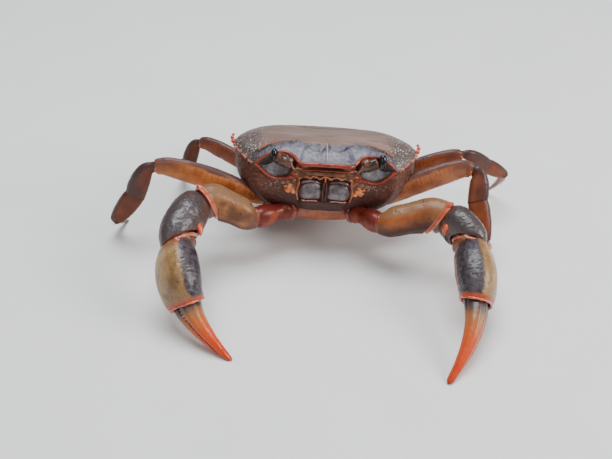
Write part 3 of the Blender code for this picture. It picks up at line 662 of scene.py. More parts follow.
shell = {
    # half of the margin, from the middle of the front round to the middle of the rear
    "margin": [(0, -18.9, -1.8), (3.6, -19.1, -1.75), (6.4, -18.9, -1.9), (7.5, -18.1, -1.5),
               (8.6, -17.3, -0.4), (10.3, -16.8, 0.4), (12.5, -16.5, 0.5), (14.8, -16.35, -0.15),
               (16.6, -16.25, -1.2), (17.9, -16.1, -2.4), (18.8, -15.7, -3.4), (20.2, -14.5, -2.8),
               (21.7, -13.2, -1.8), (23.0, -11.9, -0.9), (24.0, -10.3, -0.2), (24.5, -8.2, 0.3),
               (24.6, -5.6, 0.4), (24.3, -2.2, 0.2), (23.1, 3.0, -0.4), (20.3, 8.8, -1.4),
               (16.2, 14.0, -2.4), (11.2, 17.8, -2.9), (5.6, 19.0, -3.0), (0, 19.1, -3.0)],
    # where the low crests behind the front and the orbits cross the shell, and the slaty part's rear edge
    "crest": [(0, -14.0), (0.6, -15.1), (1.4, -16.1), (2.6, -16.5), (4.0, -16.1), (5.2, -15.1), (6.2, -13.8),
              (7.2, -13.0), (8.6, -13.0), (11, -13.6), (14, -14.0), (16, -14.1), (18, -14.1), (20.5, -13.0),
              (22.5, -11.0), (25, -8.2)],
    "slateEnd": [(0, -14.3), (3, -14.4), (5, -14.0), (6.4, -13.4), (8.6, -13.0)],
    "marginSteps": 12, "crown": 3.5, "heartY": -1.0, "backRows": 150, "wallRows": 120, "skirt": 0.69,
    "crestRise": 0.40, "grooveDepth": 0.26, "pitDepth": 0.035,
    "orbit": [(7.9, -1.6), (8.7, -0.5), (10.3, 0.3), (12.5, 0.4), (14.8, -0.25), (16.6, -1.3), (17.8, -2.5),
              (17.1, -4.1), (15.7, -5.5), (14.1, -6.4), (12.4, -6.55), (10.8, -6.2), (9.5, -5.5), (8.7, -4.2),
              (8.0, -2.9)],
    "orbitDepth": 2.6, "mouthDepth": 1.0,
}
heart = np.array([0.0, shell["heartY"], 0.0])


def frontShare(rim):
    flat = rim[:, :2] - heart[:2]
    return -flat[:, 1] / np.linalg.norm(flat, axis=1)


def crestLine(x):
    return readTable(shell["crest"], np.abs(x))[..., 0]


def foldedRings(edge, steps):
    # rings that tuck in from an edge, each (scale about the shell's middle, rise)
    rings = heart + (edge - heart) * np.array([scale for scale, rise in steps])[:, None, None]
    rings[..., 2] = edge[:, 2] + np.array([rise for scale, rise in steps])[:, None]
    return rings


def insideOutline(x, z, outline):
    # distance to a closed outline, positive inside it
    best, inside = np.full(x.shape, 1e9), np.zeros(x.shape, bool)
    for (x0, z0), (x1, z1) in zip(outline, np.roll(outline, -1, axis=0)):
        run, rise = x1 - x0, z1 - z0
        t = np.clip(((x - x0) * run + (z - z0) * rise) / (run ** 2 + rise ** 2 + 1e-9), 0, 1)
        best = np.minimum(best, np.hypot(x - x0 - t * run, z - z0 - t * rise))
        inside ^= ((z0 > z) != (z1 > z)) & (x < run * (z - z0) / (rise + 1e-12) + x0)
    return np.where(inside, best, -best)


def backHeight(p):
    # relief of the back, in millimetres above the plain dome, and the paints that go with it
    x, y = p[..., 0], p[..., 1]
    side = np.abs(x)
    steep = (crestLine(side + 0.05) - crestLine(side - 0.05)) / 0.1
    ragged = 0.18 * softNoise(p * (1, 0.3, 0), 1.5, 4)
    ragged += 0.30 * (1 - eased(5, 7, side)) * alongNoise(x, 2.7, 9)
    crest = (y - crestLine(x) + ragged) / np.sqrt(1 + steep ** 2)
    strong = np.interp(side, [0, 0.3, 0.9, 5.0, 5.8, 7.0, 8.4, 12, 17, 19, 22, 24],
                       [0, .3, 1, .9, .1, .15, .7, 1, .9, .5, .2, 0])
    inner = 1 - eased(5.5, 6.5, side)
    lift = shell["crestRise"] * strong * (1 - 0.6 * inner) * eased(-0.25, 0.2, crest)
    lift *= np.exp(-np.clip(crest, 0, None) / 2.2)
    # the groove down the middle and its fork, then the broad grooves round the heart
    groove = bump(x, 0, 0.24) * eased(-18.9, -18.0, y) * (1 - eased(-12.6, -10.4, y))
    fork = bump(side, (y + 12.2) * 0.42, 0.7) * eased(-12.4, -11.6, y) * (1 - eased(-7.0, -4.5, y))
    lift -= shell["grooveDepth"] * (groove + 0.25 * fork)
    cervical = bump(side, 6.0 + 0.32 * (y - 2.0) + 0.05 * (y - 2.0) ** 2, 1.5)
    cervical = cervical * eased(-7.5, -3.5, y) * (1 - eased(5.0, 8.5, y))
    urn = bump(y, 3.4 + 0.04 * side ** 2, 1.2) * (1 - eased(5.2, 7.0, side))
    lift -= 0.18 * cervical + 0.16 * urn
    lift += 0.35 * bump(side, 14.5, 6.0) * bump(y, 1.5, 7.0) + 0.25 * bump(side, 0, 5.0) * bump(y, -6.5, 4.0)
    lift += 0.30 * bump(side, 3.6, 2.4) * bump(y, -13.6, 1.6)
    slope = eased(3.0, 10.0, y) * eased(10, 17, side)
    lift += 0.04 * slope * np.sin((y * 1.3 - side) * 5.2 + 2.0 * softNoise(p, 0.5, 2))
    grit = eased(14.5, 19.5, side + 4 * ragged) * (1 - eased(-6.5, -0.5, y))
    lift += shell["pitDepth"] * softNoise(p, 1.6, 1) + 0.07 * grit * softNoise(p, 2.9, 3)
    slate = np.where(side < 8.6, y - readTable(shell["slateEnd"], side)[..., 0] + 0.6 * ragged, crest)
    # painted shadow in front of each crest's step, and along the inner crests' wavy edges
    paintedShade = 1.3 * strong * bump(crest, -0.10, 0.32 - 0.05 * inner)
    paintedShade += 0.9 * inner * strong * bump(crest, -0.55, 0.13) * (ragged > 0.0)
    # the pale middle groove, then a painted highlight on the crests' tops
    chalkAndHighlight = bump(x, 0, 0.11) * eased(-18.4, -17.4, y) * (1 - eased(-13.6, -12.4, y)) * 0.7
    chalkAndHighlight += bump(crest, 0.28, 0.20) * strong * (1 - eased(9.0, 11.0, side)) * 0.25 * (ragged > 0.02)
    return lift, {
        "front": (1 - eased(-0.6, 0.5, slate)) * (1 - eased(18.0, 21.0, side)),
        "paintedShade": np.clip(paintedShade, 0, 1),
        "blush": bump(crest, 0.35, 0.40) * eased(9, 11, side) * (1 - eased(17.0, 18.5, side)),
        "chalkAndHighlight": np.clip(chalkAndHighlight, 0, 1), "rear": 0.75 * eased(-8.0, 9.0, y),
        "grain": np.clip(grit + 0.35 * strong * bump(crest, 0.6, 0.7) * (side > 7), 0, 1)}


def buildBack(rim):
    share = frontShare(rim)
    ahead, behind = np.clip(share, 0, None), np.clip(-share, 0, None)
    flank = 1 - eased(0.30, 0.85, ahead)
    power = 5.3 + 1.5 * flank - 2.6 * eased(0.2, 1.0, behind)
    root = 1 / (1 + 0.5 * flank * (1 - 0.6 * behind))
    rho = 1 - np.linspace(0, 1, shell["backRows"]) ** 1.35 * 0.985
    p = heart + (rim - heart) * rho[:, None, None]
    p[..., 2] = rim[:, 2] + (shell["crown"] - rim[:, 2]) * (1 - rho[:, None] ** power) ** root
    lift, paint = backHeight(p)
    p[..., 2] += lift * eased(1.0, 0.965, rho)[:, None]
    under = foldedRings(rim, ((0.55, -3.0), (0.75, -2.2), (0.90, -1.2), (0.96, -0.8), (0.985, -0.45),
                              (0.997, -0.18)))
    # the turned-in edge under the margin is painted dark as shade
    paint = {key: np.concatenate([np.full(under.shape[:2], 0.85 * (key == "paintedShade")), value])
             for key, value in paint.items()}
    return ringPiece("shellBack", np.concatenate([under, p]), "back", "shell", "carapace", paint=paint,
                     side=1)


def wallScale(depth, ahead):
    scale = 1 - (1 - shell["skirt"]) * (0.1 * depth + 0.9 * depth ** 3.6)
    return scale - 0.19 * ahead ** 8 * np.minimum(1, depth / 0.12) * (1 - depth)


def wallFoot(ahead, behind):
    return -10.8 - 4.8 * eased(0.0, 0.5, ahead) + 2.0 * behind ** 1.5


def faceY(x, z):
    # how far forward the wall under the front stands at a place seen from the front
    x, z = np.broadcast_arrays(np.abs(np.asarray(x, float)), np.asarray(z, float))
    line = smoothLine(shell["margin"][:15], shell["marginSteps"])
    scale = np.full(x.shape, 0.9)
    for k in range(14):
        across = np.clip(x / scale, 0, 23.9)
        y, top = np.interp(across, line[:, 0], line[:, 1]), np.interp(across, line[:, 0], line[:, 2])
        ahead = (heart[1] - y) / np.hypot(across, heart[1] - y)
        scale = wallScale(np.clip((z - top) / (wallFoot(ahead, 0.0) - top), 0, 1), ahead)
    return heart[1] + (y - heart[1]) * scale


def onFace(x, z, out):
    # points standing a little proud of the wall under the front
    x, z = np.broadcast_arrays(np.asarray(x, float), np.asarray(z, float))
    return np.stack([x, faceY(x, z) - out, z], -1)


def buildWall(rim):
    depth = np.linspace(0, 1, shell["wallRows"])[:, None] ** 1.15
    ahead, behind = np.clip(frontShare(rim), 0, None), np.clip(-frontShare(rim), 0, None)
    p = heart + (rim - heart) * wallScale(depth, ahead)[..., None]
    p[..., 2] = rim[:, 2] + (wallFoot(ahead, behind) - rim[:, 2]) * depth
    side, y, z = np.abs(p[..., 0]), p[..., 1].copy(), p[..., 2]
    facing = y < -8
    hole = np.where(facing, insideOutline(side, z, smoothLine(shell["orbit"], 4, True)), -9)
    hollow = 1 - np.exp(-np.clip(hole, 0, None) / 1.1)
    mouth = np.where(facing, eased(-0.1, 0.7, np.minimum(7.1 - side, np.minimum(-5.9 - z, z + 12.9))), 0)
    p[..., 1] += shell["orbitDepth"] * hollow + shell["mouthDepth"] * mouth
    p[..., 1] -= facing * (0.5 * bump(side, 9.0, 2.0) * bump(z, -9.0, 2.0) + 0.25 * bump(hole, -0.35, 0.35))
    # fine oblique lines on the flanks, grit under the margin
    rough = softNoise(p * (1, 1, 3.0), 1.4, 5)
    p += unit((p - heart) * (1, 1, 0)) * (0.07 * rough * (1 - hollow))[..., None]
    low = depth * np.ones(len(rim))
    grain = (1 - eased(0.05, 0.32, low)) * eased(-14.5, -9, -np.abs(y)) * eased(15, 19, side) * (y < 0)
    grain += 0.6 * bump(side, 12.8, 3.0) * bump(z, -8.0, 1.2) * facing
    face = facing * (1 - eased(8.5, 10.5, side + 0.6 * rough)) * eased(-12.0, -8.0, z)
    top = foldedRings(rim, ((0.50, -1.6), (0.86, -0.7), (0.985, -0.10)))
    foot = foldedRings(p[-1], ((0.97, 0.0), (0.90, 0.6), (0.75, 1.4)))
    # the mouth's recess gets painted shade, strongest at its top under the lip
    paint = {"low": low, "hollow": hollow, "grain": np.clip(grain, 0, 1), "face": np.clip(face, 0, 1),
             "gap": mouth * (0.45 + 0.55 * eased(-8.4, -7.3, z))}
    paint = {key: withEnds(values, len(top), len(foot)) for key, values in paint.items()}
    return ringPiece("shellFlank", np.concatenate([top, p, foot]), "flank", "shell", paint=paint, side=1)


def smoothTube(name, path, wide, tall, material, slotName="shell", ends=0.05, columns=20, power=2.0,
               up=(0, 0.3, 1), side=1):
    # a tube in the body's frame, domed at both ends
    path, thick = path * (side, 1, 1), roundEnds(len(path), ends)
    ringPiece(name, tubeAlong(path, wide * thick, tall * thick, up, columns, power), material, slotName,
              side=1)


def acrossFront(x, y, z):
    return np.stack([x, y + 0.85 * (x / 7.7) ** 2, z], -1)


def buildFront():
    # the thick polished rim across the front, and on round the top of each orbit
    half = np.array(shell["margin"][:11])
    path = smoothLine(np.vstack([half[::-1] * (-1, 1, 1), half[1:]]), 12)
    side = np.abs(path[:, 0])
    middle, corner = 1 - eased(5.8, 7.8, side), bump(side, 9.6, 1.6)
    wave = 1 + 0.14 * alongNoise(path[:, 0], 0.9, 3) + 0.06 * alongNoise(path[:, 0], 2.6, 5)
    smoothTube("frontRim", path - np.outer(middle, (0, 0, 0.12)),
               (0.34 + 0.32 * middle + 0.22 * corner) * wave, (0.32 + 0.26 * middle + 0.20 * corner) * wave,
               "coral", "shell", 0.03, 28, 2.4, (0, 0.25, 1))
    # under it a second, finer line, an olive strip, and the wavy lip over the mouth with its middle tooth
    x = np.linspace(-7.7, 7.7, 200)
    smoothTube("frontSecondLine", acrossFront(x, -17.35, -3.80 + 0.10 * np.cos(x * 0.55)), 0.30,
               0.22 + 0.05 * np.cos(x * 1.9), "coral")
    x = np.linspace(-7.4, 7.4, 200)
    side = np.abs(x)
    smoothTube("frontStrip", acrossFront(x, -16.85, -4.75 + 0.05 * np.cos(x * 1.3)), 0.55, 0.62, "olive",
               power=2.6)
    wavy = 0.30 * np.cos(2 * pi * (side - 2.9) / 2.7) * (1 - 0.4 * eased(5.8, 7.2, side))
    wavy += 0.10 * alongNoise(x, 1.4, 8) - 0.35 * eased(4.5, 7.2, side) - 5.72
    smoothTube("mouthLip", acrossFront(x, -17.15, wavy), 0.42, 0.26 + 0.05 * np.cos(x * 4.6), "lip")
    t = np.linspace(0, 1, 30)
    smoothTube("mouthLipTooth", np.stack([0 * t, -17.2 + 0.35 * t, -5.2 - 1.9 * t], -1), 0.34 * (1 - 0.5 * t),
               0.34 * (1 - 0.4 * t), "lip", ends=0.15, up=(0, 1, 0))
    # lower rim of each orbit, a little beaded and thick at its inner corner, then the side of the mouth
    outline = [(18.7, 0, -3.3), (17.5, 0, -4.2), (16.1, 0, -5.4), (14.6, 0, -6.45), (12.8, 0, -6.8),
               (11.0, 0, -6.5), (9.6, 0, -6.25), (8.6, 0, -6.15), (7.7, 0, -6.0)]
    low = smoothLine(outline, 14)
    low = onFace(low[:, 0], low[:, 2], 0.18)
    beads = 1 + 0.14 * np.sin(np.arange(len(low)) * 1.05) + 0.12 * softNoise(low, 1.2, 6)
    rimThick = (0.32 + 0.16 * bump(low[:, 0], 9.4, 0.9)) * beads
    z = np.linspace(-6.3, -12.6, 60)
    edge = onFace(7.15 + 0.25 * np.sin(z * 1.1), z, 0.12)
    edgeThick = 0.21 * (1 + 0.25 * np.sin(z * 2.3) + 0.2 * softNoise(edge, 1.1, 2))
    for sign, label in sides:
        smoothTube(f"orbitLowerRim_{label}", low, rimThick, rimThick, "coral", ends=0.06, up=(0, 0.4, 1),
                   side=sign)
        smoothTube(f"mouthSide_{label}", edge, edgeThick, edgeThick, "lip", "mouth", up=(0, 1, 0), side=sign)
        # a lumpy brown pad between the mouth and the orbit
        for k, (a, b, r, material) in enumerate(((8.0, -5.4, 0.62, "lip"), (8.1, -6.9, 0.60, "olive"),
                                                 (9.6, -7.5, 0.70, "olive"), (11.2, -7.8, 0.60, "olive"))):
            lump = blob(onFace(a, b, -0.1), (r * 1.25, 0.45, r), rows=24, columns=28)
            lump += 0.16 * softNoise(lump, 1.5, k)[..., None] * (1, 0.6, 1)
            ringPiece(f"cheekLump{k + 1}_{label}", lump, material, "shell", side=sign)


def buildMarginRows():
    lines, spines = [], []
    for sign, label in sides:
        for rows, first, end, cut, upward, out in ((lines, 10, 16, slice(8, -8), 4.0, 0.12),
                                                   (spines, 15, 20, slice(14, 52), 9.0, 0.1)):
            path = smoothLine(shell["margin"][first:end], 16)[cut] * (sign, 1, 1)
            away = unit((path - heart) * (1, 1, 0) + (0, 0, upward))
            t = np.linspace(0, 1, len(path))
            size = 0.8 + 0.5 * t if rows is lines else np.interp(t, [0, 0.3, 1], [1.3, 1.0, 0.45])
            rows.append((toWorld(path + away * out), wayToWorld(away), size))
    rowOf("marginBeads", lines, "bead", "shell", 1.15, 0.40, 1.05, 0.35, 0.25, seed=4)
    rowOf("marginFineBeads", lines, "bead", "shell", 0.42, 0.17, 1.0, 0.3, 0.5, seed=9)
    rowOf("marginSpines", spines, "spine", "shell", 0.95, 0.30, 1.2, 0.2, 0.2, seed=2)
    # the corner's cluster of red knobs
    for sign, label in sides:
        for k, (x, y, z, r) in enumerate(((24.5, -9.0, 0.1, 0.50), (25.0, -7.6, 0.8, 0.62),
                                          (25.3, -7.0, 1.6, 0.56), (25.1, -6.4, 2.3, 0.42),
                                          (24.2, -10.6, -0.5, 0.42), (23.1, -12.2, -0.9, 0.40),
                                          (21.6, -13.5, -1.9, 0.44), (20.3, -14.7, -2.8, 0.36))):
            knob = blob((x, y, z), (r, r, r * 1.05), rows=22, columns=26)
            knob += 0.10 * softNoise(knob, 1.6, k)[..., None]
            ringPiece(f"cornerKnob{k + 1}_{label}", knob, "spine", "shell", side=sign)


def buildEyes():
    for sign, label in sides:
        foot, ball = np.array(eye["foot"]), np.array(eye["ball"]) - (0.55, 0, 0)
        t = np.linspace(0, 1, 44)
        path = foot + (ball - foot - (0.3, -0.1, 0)) * t[:, None]
        path += np.outer(np.sin(t * pi), (0, -0.30, -0.25))
        thick = eye["stalkThick"] * readTable(eye["stalkShape"], t)[:, 0]
        rings = tubeAlong(path, thick, thick * 1.02, (0, 0, 1), 40)
        lumps = 0.16 * softNoise(rings, 0.9, 8) + 0.05 * softNoise(rings, 2.6, 5)
        rings += lumps[..., None] * ((rings - path[:, None]) / 1.5)
        ringPiece(f"eyeStalk_{label}", rings, "stalk", "stalk", f"eyestalk_{label}", side=sign)
        # the crab's left eye cover is larger and set lower: partly the eye, and partly black standing in as
        # painted shadow under it
        big, shift = (1.22, (0.75, -0.2, -0.05)) if sign > 0 else (1.0, (0.05, -0.15, 0.35))
        cover = blob(ball + shift, (eye["wide"] * big, eye["deep"], eye["tall"] * big), rows=40, columns=48)
        ringPiece(f"eyeCover_{label}", cover, "eye", "eye", f"eye_{label}", side=sign)


def buildAntennae():
    # short antenna beside each orbit's inner corner, and the small one folded under the front
    for sign, label in sides:
        for part, size, line in (
                ("antenna", 0.42, ((8.3, -16.6, -3.9), (8.9, -18.0, -2.9), (9.3, -18.9, -1.6))),
                ("antennule", 0.5, ((6.4, -16.8, -3.6), (7.4, -17.6, -3.3), (8.0, -18.0, -3.5)))):
            path = smoothLine(line, 20)
            t = np.linspace(0, 1, len(path))
            thick = size * (1 - 0.75 * t ** 0.8) * (1 + 0.12 * np.cos(t * 60)) * roundEnds(len(path), 0.05)
            ringPiece(f"{part}_{label}", tubeAlong(path, thick, thick, (0, 0.3, 1), 16), "bead", "shell",
                      side=sign)


jaw = {
    # outlines seen from the front, from the middle line out, how far each plate stands out, and its finish
    "main": ([(0.75, -8.6), (1.5, -7.75), (3.3, -7.25), (5.2, -7.6), (6.5, -8.7), (6.95, -10.0), (6.6, -11.3),
              (5.5, -12.1), (3.6, -12.35), (1.8, -12.1), (0.85, -11.3), (0.60, -10.0)], 0.60, "jaw"),
    "upper": ([(0.9, -7.55), (2.1, -6.75), (3.9, -6.45), (5.7, -6.75), (6.8, -7.7), (5.7, -7.45),
               (3.7, -6.95), (1.9, -7.4)], 0.45, "jaw"),
    "foot": ([(0.4, -12.6), (2.6, -12.55), (5.0, -12.5), (6.9, -12.3), (7.3, -13.1), (6.6, -13.9),
              (3.6, -14.3), (0.9, -14.2), (0.3, -13.4)], 0.40, "jawFoot"),
}


def jawPlate(name, outline, rise, material, sign, nodes):
    # a cushioned plate lying on the wall under the front, dished in its middle
    line = smoothLine([(a, 0, b) for a, b in outline], 8, closed=True)
    middle = line.mean(0)
    rings = [(0.80, -1.0, 1.0), (0.97, -0.7, 1.0), (1.0, -0.35, 1.0)]
    for t in np.linspace(0, 1, 22):
        out = rise * (1 - (1 - t) ** 3) - 0.16 * eased(0.3, 1, t)
        rings.append((max(1 - t, 0.02), out, np.clip(1 - t * 2.6, 0, 1)))
    points = np.array([onFace(*(middle + (line - middle) * scale)[:, ::2].T, out - shell["mouthDepth"] * 0.75)
                       for scale, out, rim in rings])
    points[..., 1] -= 0.06 * softNoise(points, 1.3, 2)
    paint = {"rim": np.array([[rim] for scale, out, rim in rings])}
    ringPiece(name, points, material, "mouth", *nodes, paint=paint, side=sign)


def buildJaws():
    z, x = np.linspace(-7.2, -12.5, 50), np.linspace(1.6, 6.0, 30)
    ridge = onFace(0.42 + 0.1 * np.cos(z * 1.3), z, -0.25)
    jawGlintLine = onFace(x, -12.42 + 0.05 * np.cos(x * 2), -0.30)
    for sign, label in sides:
        for part, (outline, rise, material) in jaw.items():
            jawPlate(f"jaw{part.capitalize()}_{label}", outline, rise, material, sign,
                     [f"maxilliped_{label}"] if part == "main" else [])
        # the dark red ridge along the middle line, and a painted highlight under each plate: a pale pink
        # glint as a thin strip
        smoothTube(f"jawRidge_{label}", ridge, 0.26, 0.34, "jawFoot", "mouth", up=(0, 1, 0), side=sign)
        smoothTube(f"jawGlint_{label}", jawGlintLine, 0.20, 0.16, "pinkGlint", "mouth", up=(0, 0, 1), side=sign)
        # soft orange tufts where the water leaves, beside the mouth
        for k, (a, b, r) in enumerate(((8.9, -8.7, 1.15), (9.7, -9.7, 0.80), (8.3, -9.9, 0.75),
                                       (9.0, -9.2, 1.0), (10.2, -8.9, 0.55))):
            tuft = blob(onFace(a, b, 0.0), (r, 0.62, r * 1.05), rows=30, columns=40)
            tuft += 0.30 * softNoise(tuft, 1.5, 3 + k)[..., None] * (1, 0.5, 1) \
                + 0.08 * softNoise(tuft, 4.5, 5)[..., None]
            ringPiece(f"mouthTuft{k + 1}_{label}", tuft, "tuft", "mouth", side=sign)


wallRim = mirroredHalf(shell["margin"], shell["marginSteps"])
back, flank = buildBack(wallRim), buildWall(wallRim)
grainsOn(back, "backGrains", 0.17, 0.42, 3)
grainsOn(flank, "flankGrains", 0.15, 0.40, 6)
buildFront()
buildMarginRows()
print("shell done")
buildEyes()
buildAntennae()
buildJaws()
print("eyes and mouth done")


# limbs

limbShape = {
    # how a limb part runs and is modelled where its own row says nothing else
    "easeIn": 0.35, "easeOut": 0.3, "power": 2.3, "keel": 0.05, "edges": 0.03, "collar": 0.015, "grooves": (),
    "slant": (0, 0, 0), "rugged": 0.0, "ridges": 0.0, "ridgePitch": 6.0, "dome": 0.8, "recess": 0.9,
}
legSizes = {
    # half height, half thickness, bow, rows, then (fraction, up, down, thick) along it, and its shape
    "coxa": (2.4, 2.2, 0.0, 44, [(0, .80, .80, .85), (.25, .98, .96, 1), (.7, 1, 1, 1), (.92, .94, .94, .95),
                                 (1, .84, .84, .86)], {"keel": 0, "edges": 0}),
    "merus": (3.0, 1.65, 1.0, 130, [(0, .52, .56, .84), (.05, .60, .68, .94), (.18, .82, .90, 1),
                                    (.38, 1.04, 1.02, 1.05), (.62, 1.07, 1.05, 1), (.80, 1.0, .98, .97),
                                    (.92, .86, .84, .92), (.975, .76, .74, .86), (1, .72, .70, .82)],
              {"ridges": 0.05, "keel": 0.06, "edges": 0.04, "ridgePitch": 7.0, "power": 2.5, "easeIn": 0.12,
               "easeOut": 0.13, "grooves": [(0.955, 0.03, 0.008)]}),
    "carpus": (2.75, 1.5, 0.35, 76, [(0, .56, .50, .58), (.08, .60, .54, .62), (.25, .78, .72, .82),
                                     (.5, .96, .92, 1.02), (.8, 1.04, 1.02, 1), (1, 1.03, 1.0, .95)],
               {"ridges": 0.02, "power": 2.5, "keel": 0.04, "easeIn": 0.42, "easeOut": 0.15, "dome": 1.0,
                "collar": 0.0, "grooves": [(0.10, 0.05, 0.03)]}),
    "propodus": (2.7, 1.35, 0.0, 72, [(0, 1.0, .97, .96), (.06, 1.04, 1.0, .99), (.35, 1.05, 1.02, 1),
                                      (.65, .94, .92, .95), (.88, .78, .76, .84), (1, .66, .66, .74)],
                 {"ridges": 0.02, "power": 2.5, "keel": 0.04, "easeIn": 0.2, "easeOut": 0.1, "collar": 0.0}),
}
legs = {
    # side, size, root in the body's frame, (length, heading, rise) of each part, (reach, heading) of the toe
    "leg1_right": (-1, 1.0, (12.0, -6.6, -14.0),
                   [(4.8, -32, 13), (30.0, -3, 20), (11.7, 4, -56), (10.8, 8, -56)], (7.7, 98)),
    "leg1_left": (1, 1.0, (12.0, -6.6, -14.0),
                  [(5.0, -25, 24), (25.4, 4, 21), (8.7, -68, -52), (10.7, -71, -53)], (5.9, 58)),
    "leg2_right": (-1, 0.78, (12.4, 0.2, -11.8),
                   [(4.2, 19, 13), (20.5, 23, 16), (7.7, 1, -59), (11.0, 68, -46)], (4.2, 96)),
    "leg2_left": (1, 0.78, (12.4, 0.2, -11.8),
                  [(4.2, 19, 8), (24.1, 4, 22), (10.1, 19, -30), (8.5, 21, -35)], (8.5, 106)),
    "leg3_right": (-1, 0.82, (11.6, 6.0, -11.2),
                   [(4.0, 36, -2), (13.6, 60, 5), (7.4, 72, -32), (9.0, 86, -34)], (5.0, 100)),
    "leg3_left": (1, 0.82, (11.6, 6.0, -11.2),
                  [(4.0, 34, -2), (13.8, 57, 6), (7.4, 70, -33), (9.0, 84, -34)], (5.0, 97)),
    "leg4_right": (-1, 0.76, (8.6, 11.0, -10.6),
                   [(3.6, 58, -6), (13.0, 68, 2), (6.8, 72, -24), (8.6, 83, -28)], (5.2, 100)),
    "leg4_left": (1, 0.76, (8.6, 11.0, -10.6),
                  [(3.6, 56, -6), (13.2, 65, 3), (6.8, 69, -25), (8.6, 80, -28)], (5.2, 96)),
}
armSizes = {
    "base": (2.8, 2.6, 0.2, 70, [(0, .84, .84, .9), (.14, .94, .92, .98), (.30, .80, .80, .84),
                                 (.45, .82, .84, .86), (.62, .98, 1, 1), (.94, .98, .96, .98),
                                 (1, .88, .86, .92)],
             {"keel": 0.0, "edges": 0.03, "power": 2.2, "easeIn": 0.2, "collar": 0.02}),
    "merus": (4.1, 3.4, 0.5, 150, [(0, .64, .68, .76), (.12, .84, .86, .92), (.5, 1, .96, 1),
                                   (.85, 1.22, 1.10, 1.1), (.96, 1.27, 1.14, 1.10), (1, 1.22, 1.10, 1.04)],
              {"collar": 0.035, "keel": 0.06, "edges": 0.07, "power": 2.5, "dome": 1.6, "recess": 1.8,
               "easeIn": 0.2, "easeOut": 0.3, "rugged": 0.02, "slant": (0.30, -0.40, 0.0),
               "grooves": [(0.945, 0.05, 0.012), (0.90, 0.02, 0.03)]}),
    "carpus": (5.394, 5.4, 1.0, 150, [(0, .50, .46, .60), (.07, .66, .58, .76), (.2, .88, .80, .94),
                                      (.4, 1.02, .94, 1.04), (.7, 1.03, .97, 1.03), (.9, .95, .86, .97),
                                      (.97, .90, .80, .92), (1, .86, .77, .89)],
               {"collar": 0.0, "keel": 0.02, "edges": 0.0, "power": 2.25, "dome": 2.4, "recess": 2.0,
                "easeIn": 0.4, "easeOut": 0.3, "rugged": 0.07, "slant": (0.34, 0.0, -0.85)}),
    "palm": (6.2, 5.0, 0.4, 170, [(0, .48, .48, .54), (.08, .68, .68, .74), (.2, .86, .85, .90),
                                  (.40, .99, .99, 1.01), (.68, 1.01, 1.01, 1.0), (.88, .88, .88, .88),
                                  (.965, .79, .80, .81), (1, .75, .76, .77)],
             {"collar": 0.0, "keel": 0.0, "edges": 0.0, "power": 2.35, "dome": 1.6, "recess": 1.6,
              "easeIn": 0.25, "easeOut": 0.25, "rugged": 0.045, "slant": (0.22, 0.0, -0.15)}),
}
hand = {"fingerHalf": (3.9, 3.0), "rise": 1.2, "bow": 2.0, "belt": 0.36,
        "finger": [(0, .96), (.12, .92), (.4, .72), (.65, .53), (.85, .38), (.95, .31), (.985, .25),
                   (1, .12)]}
arms = {
    # side, root, parts and toe as the legs, then the hand's lean and outward bow, how wide the wrist and the
    # palm are, the merus's finish, (row, depth, reach) of the wrist's tooth and (height, rise) of its knob
    "arm_right": (-1, (8.6, -10.6, -16.4), [(11.2, -31, 6), (13.4, -6, 22), (14.3, -68, -8),
                                            (16.2, -101, -34)],
                  (14.3, -136), -32, 1.25, 0.84, 0.93, "arm", (-6, 0.9, 4.2), (0.96, 1.7)),
    # the left arm's merus takes the darker, shaded copy of the arm's finish
    "arm_left": (1, (8.6, -10.6, -16.4), [(10.1, -45, 11), (15.7, -6, 11), (10.0, -53, -9), (16.4, -87, -23)],
                 (18.9, -113), 20, 0.5, 0.74, 1.0, "shadedArm", (-22, 0.4, 2.9), (0.80, 2.2)),
}


def stepOut(side, length, heading, rise):
    h, r = radians(heading), radians(rise)
    return Vector((side * cos(h) * cos(r), sin(h) * cos(r), sin(r))) * length


def jointsOf(side, root, runs, last, shares):
    # the joints' places down to the tip on the floor, and the way through each, between the parts it joins
    points = [bodyPlace @ Vector((side * root[0], *root[1:]))]
    for run in (*runs, (*last, 0)):
        points.append(points[-1] + stepOut(side, *run))
    points[-1].z = 0
    steps = [(b - a).normalized() for a, b in zip(points, points[1:])]
    ways = [steps[0]] + [(a * share + b * (1 - share)).normalized()
                         for a, b, share in zip(steps, steps[1:], shares)]
    return np.array(points), [*np.array(ways), floorWay]


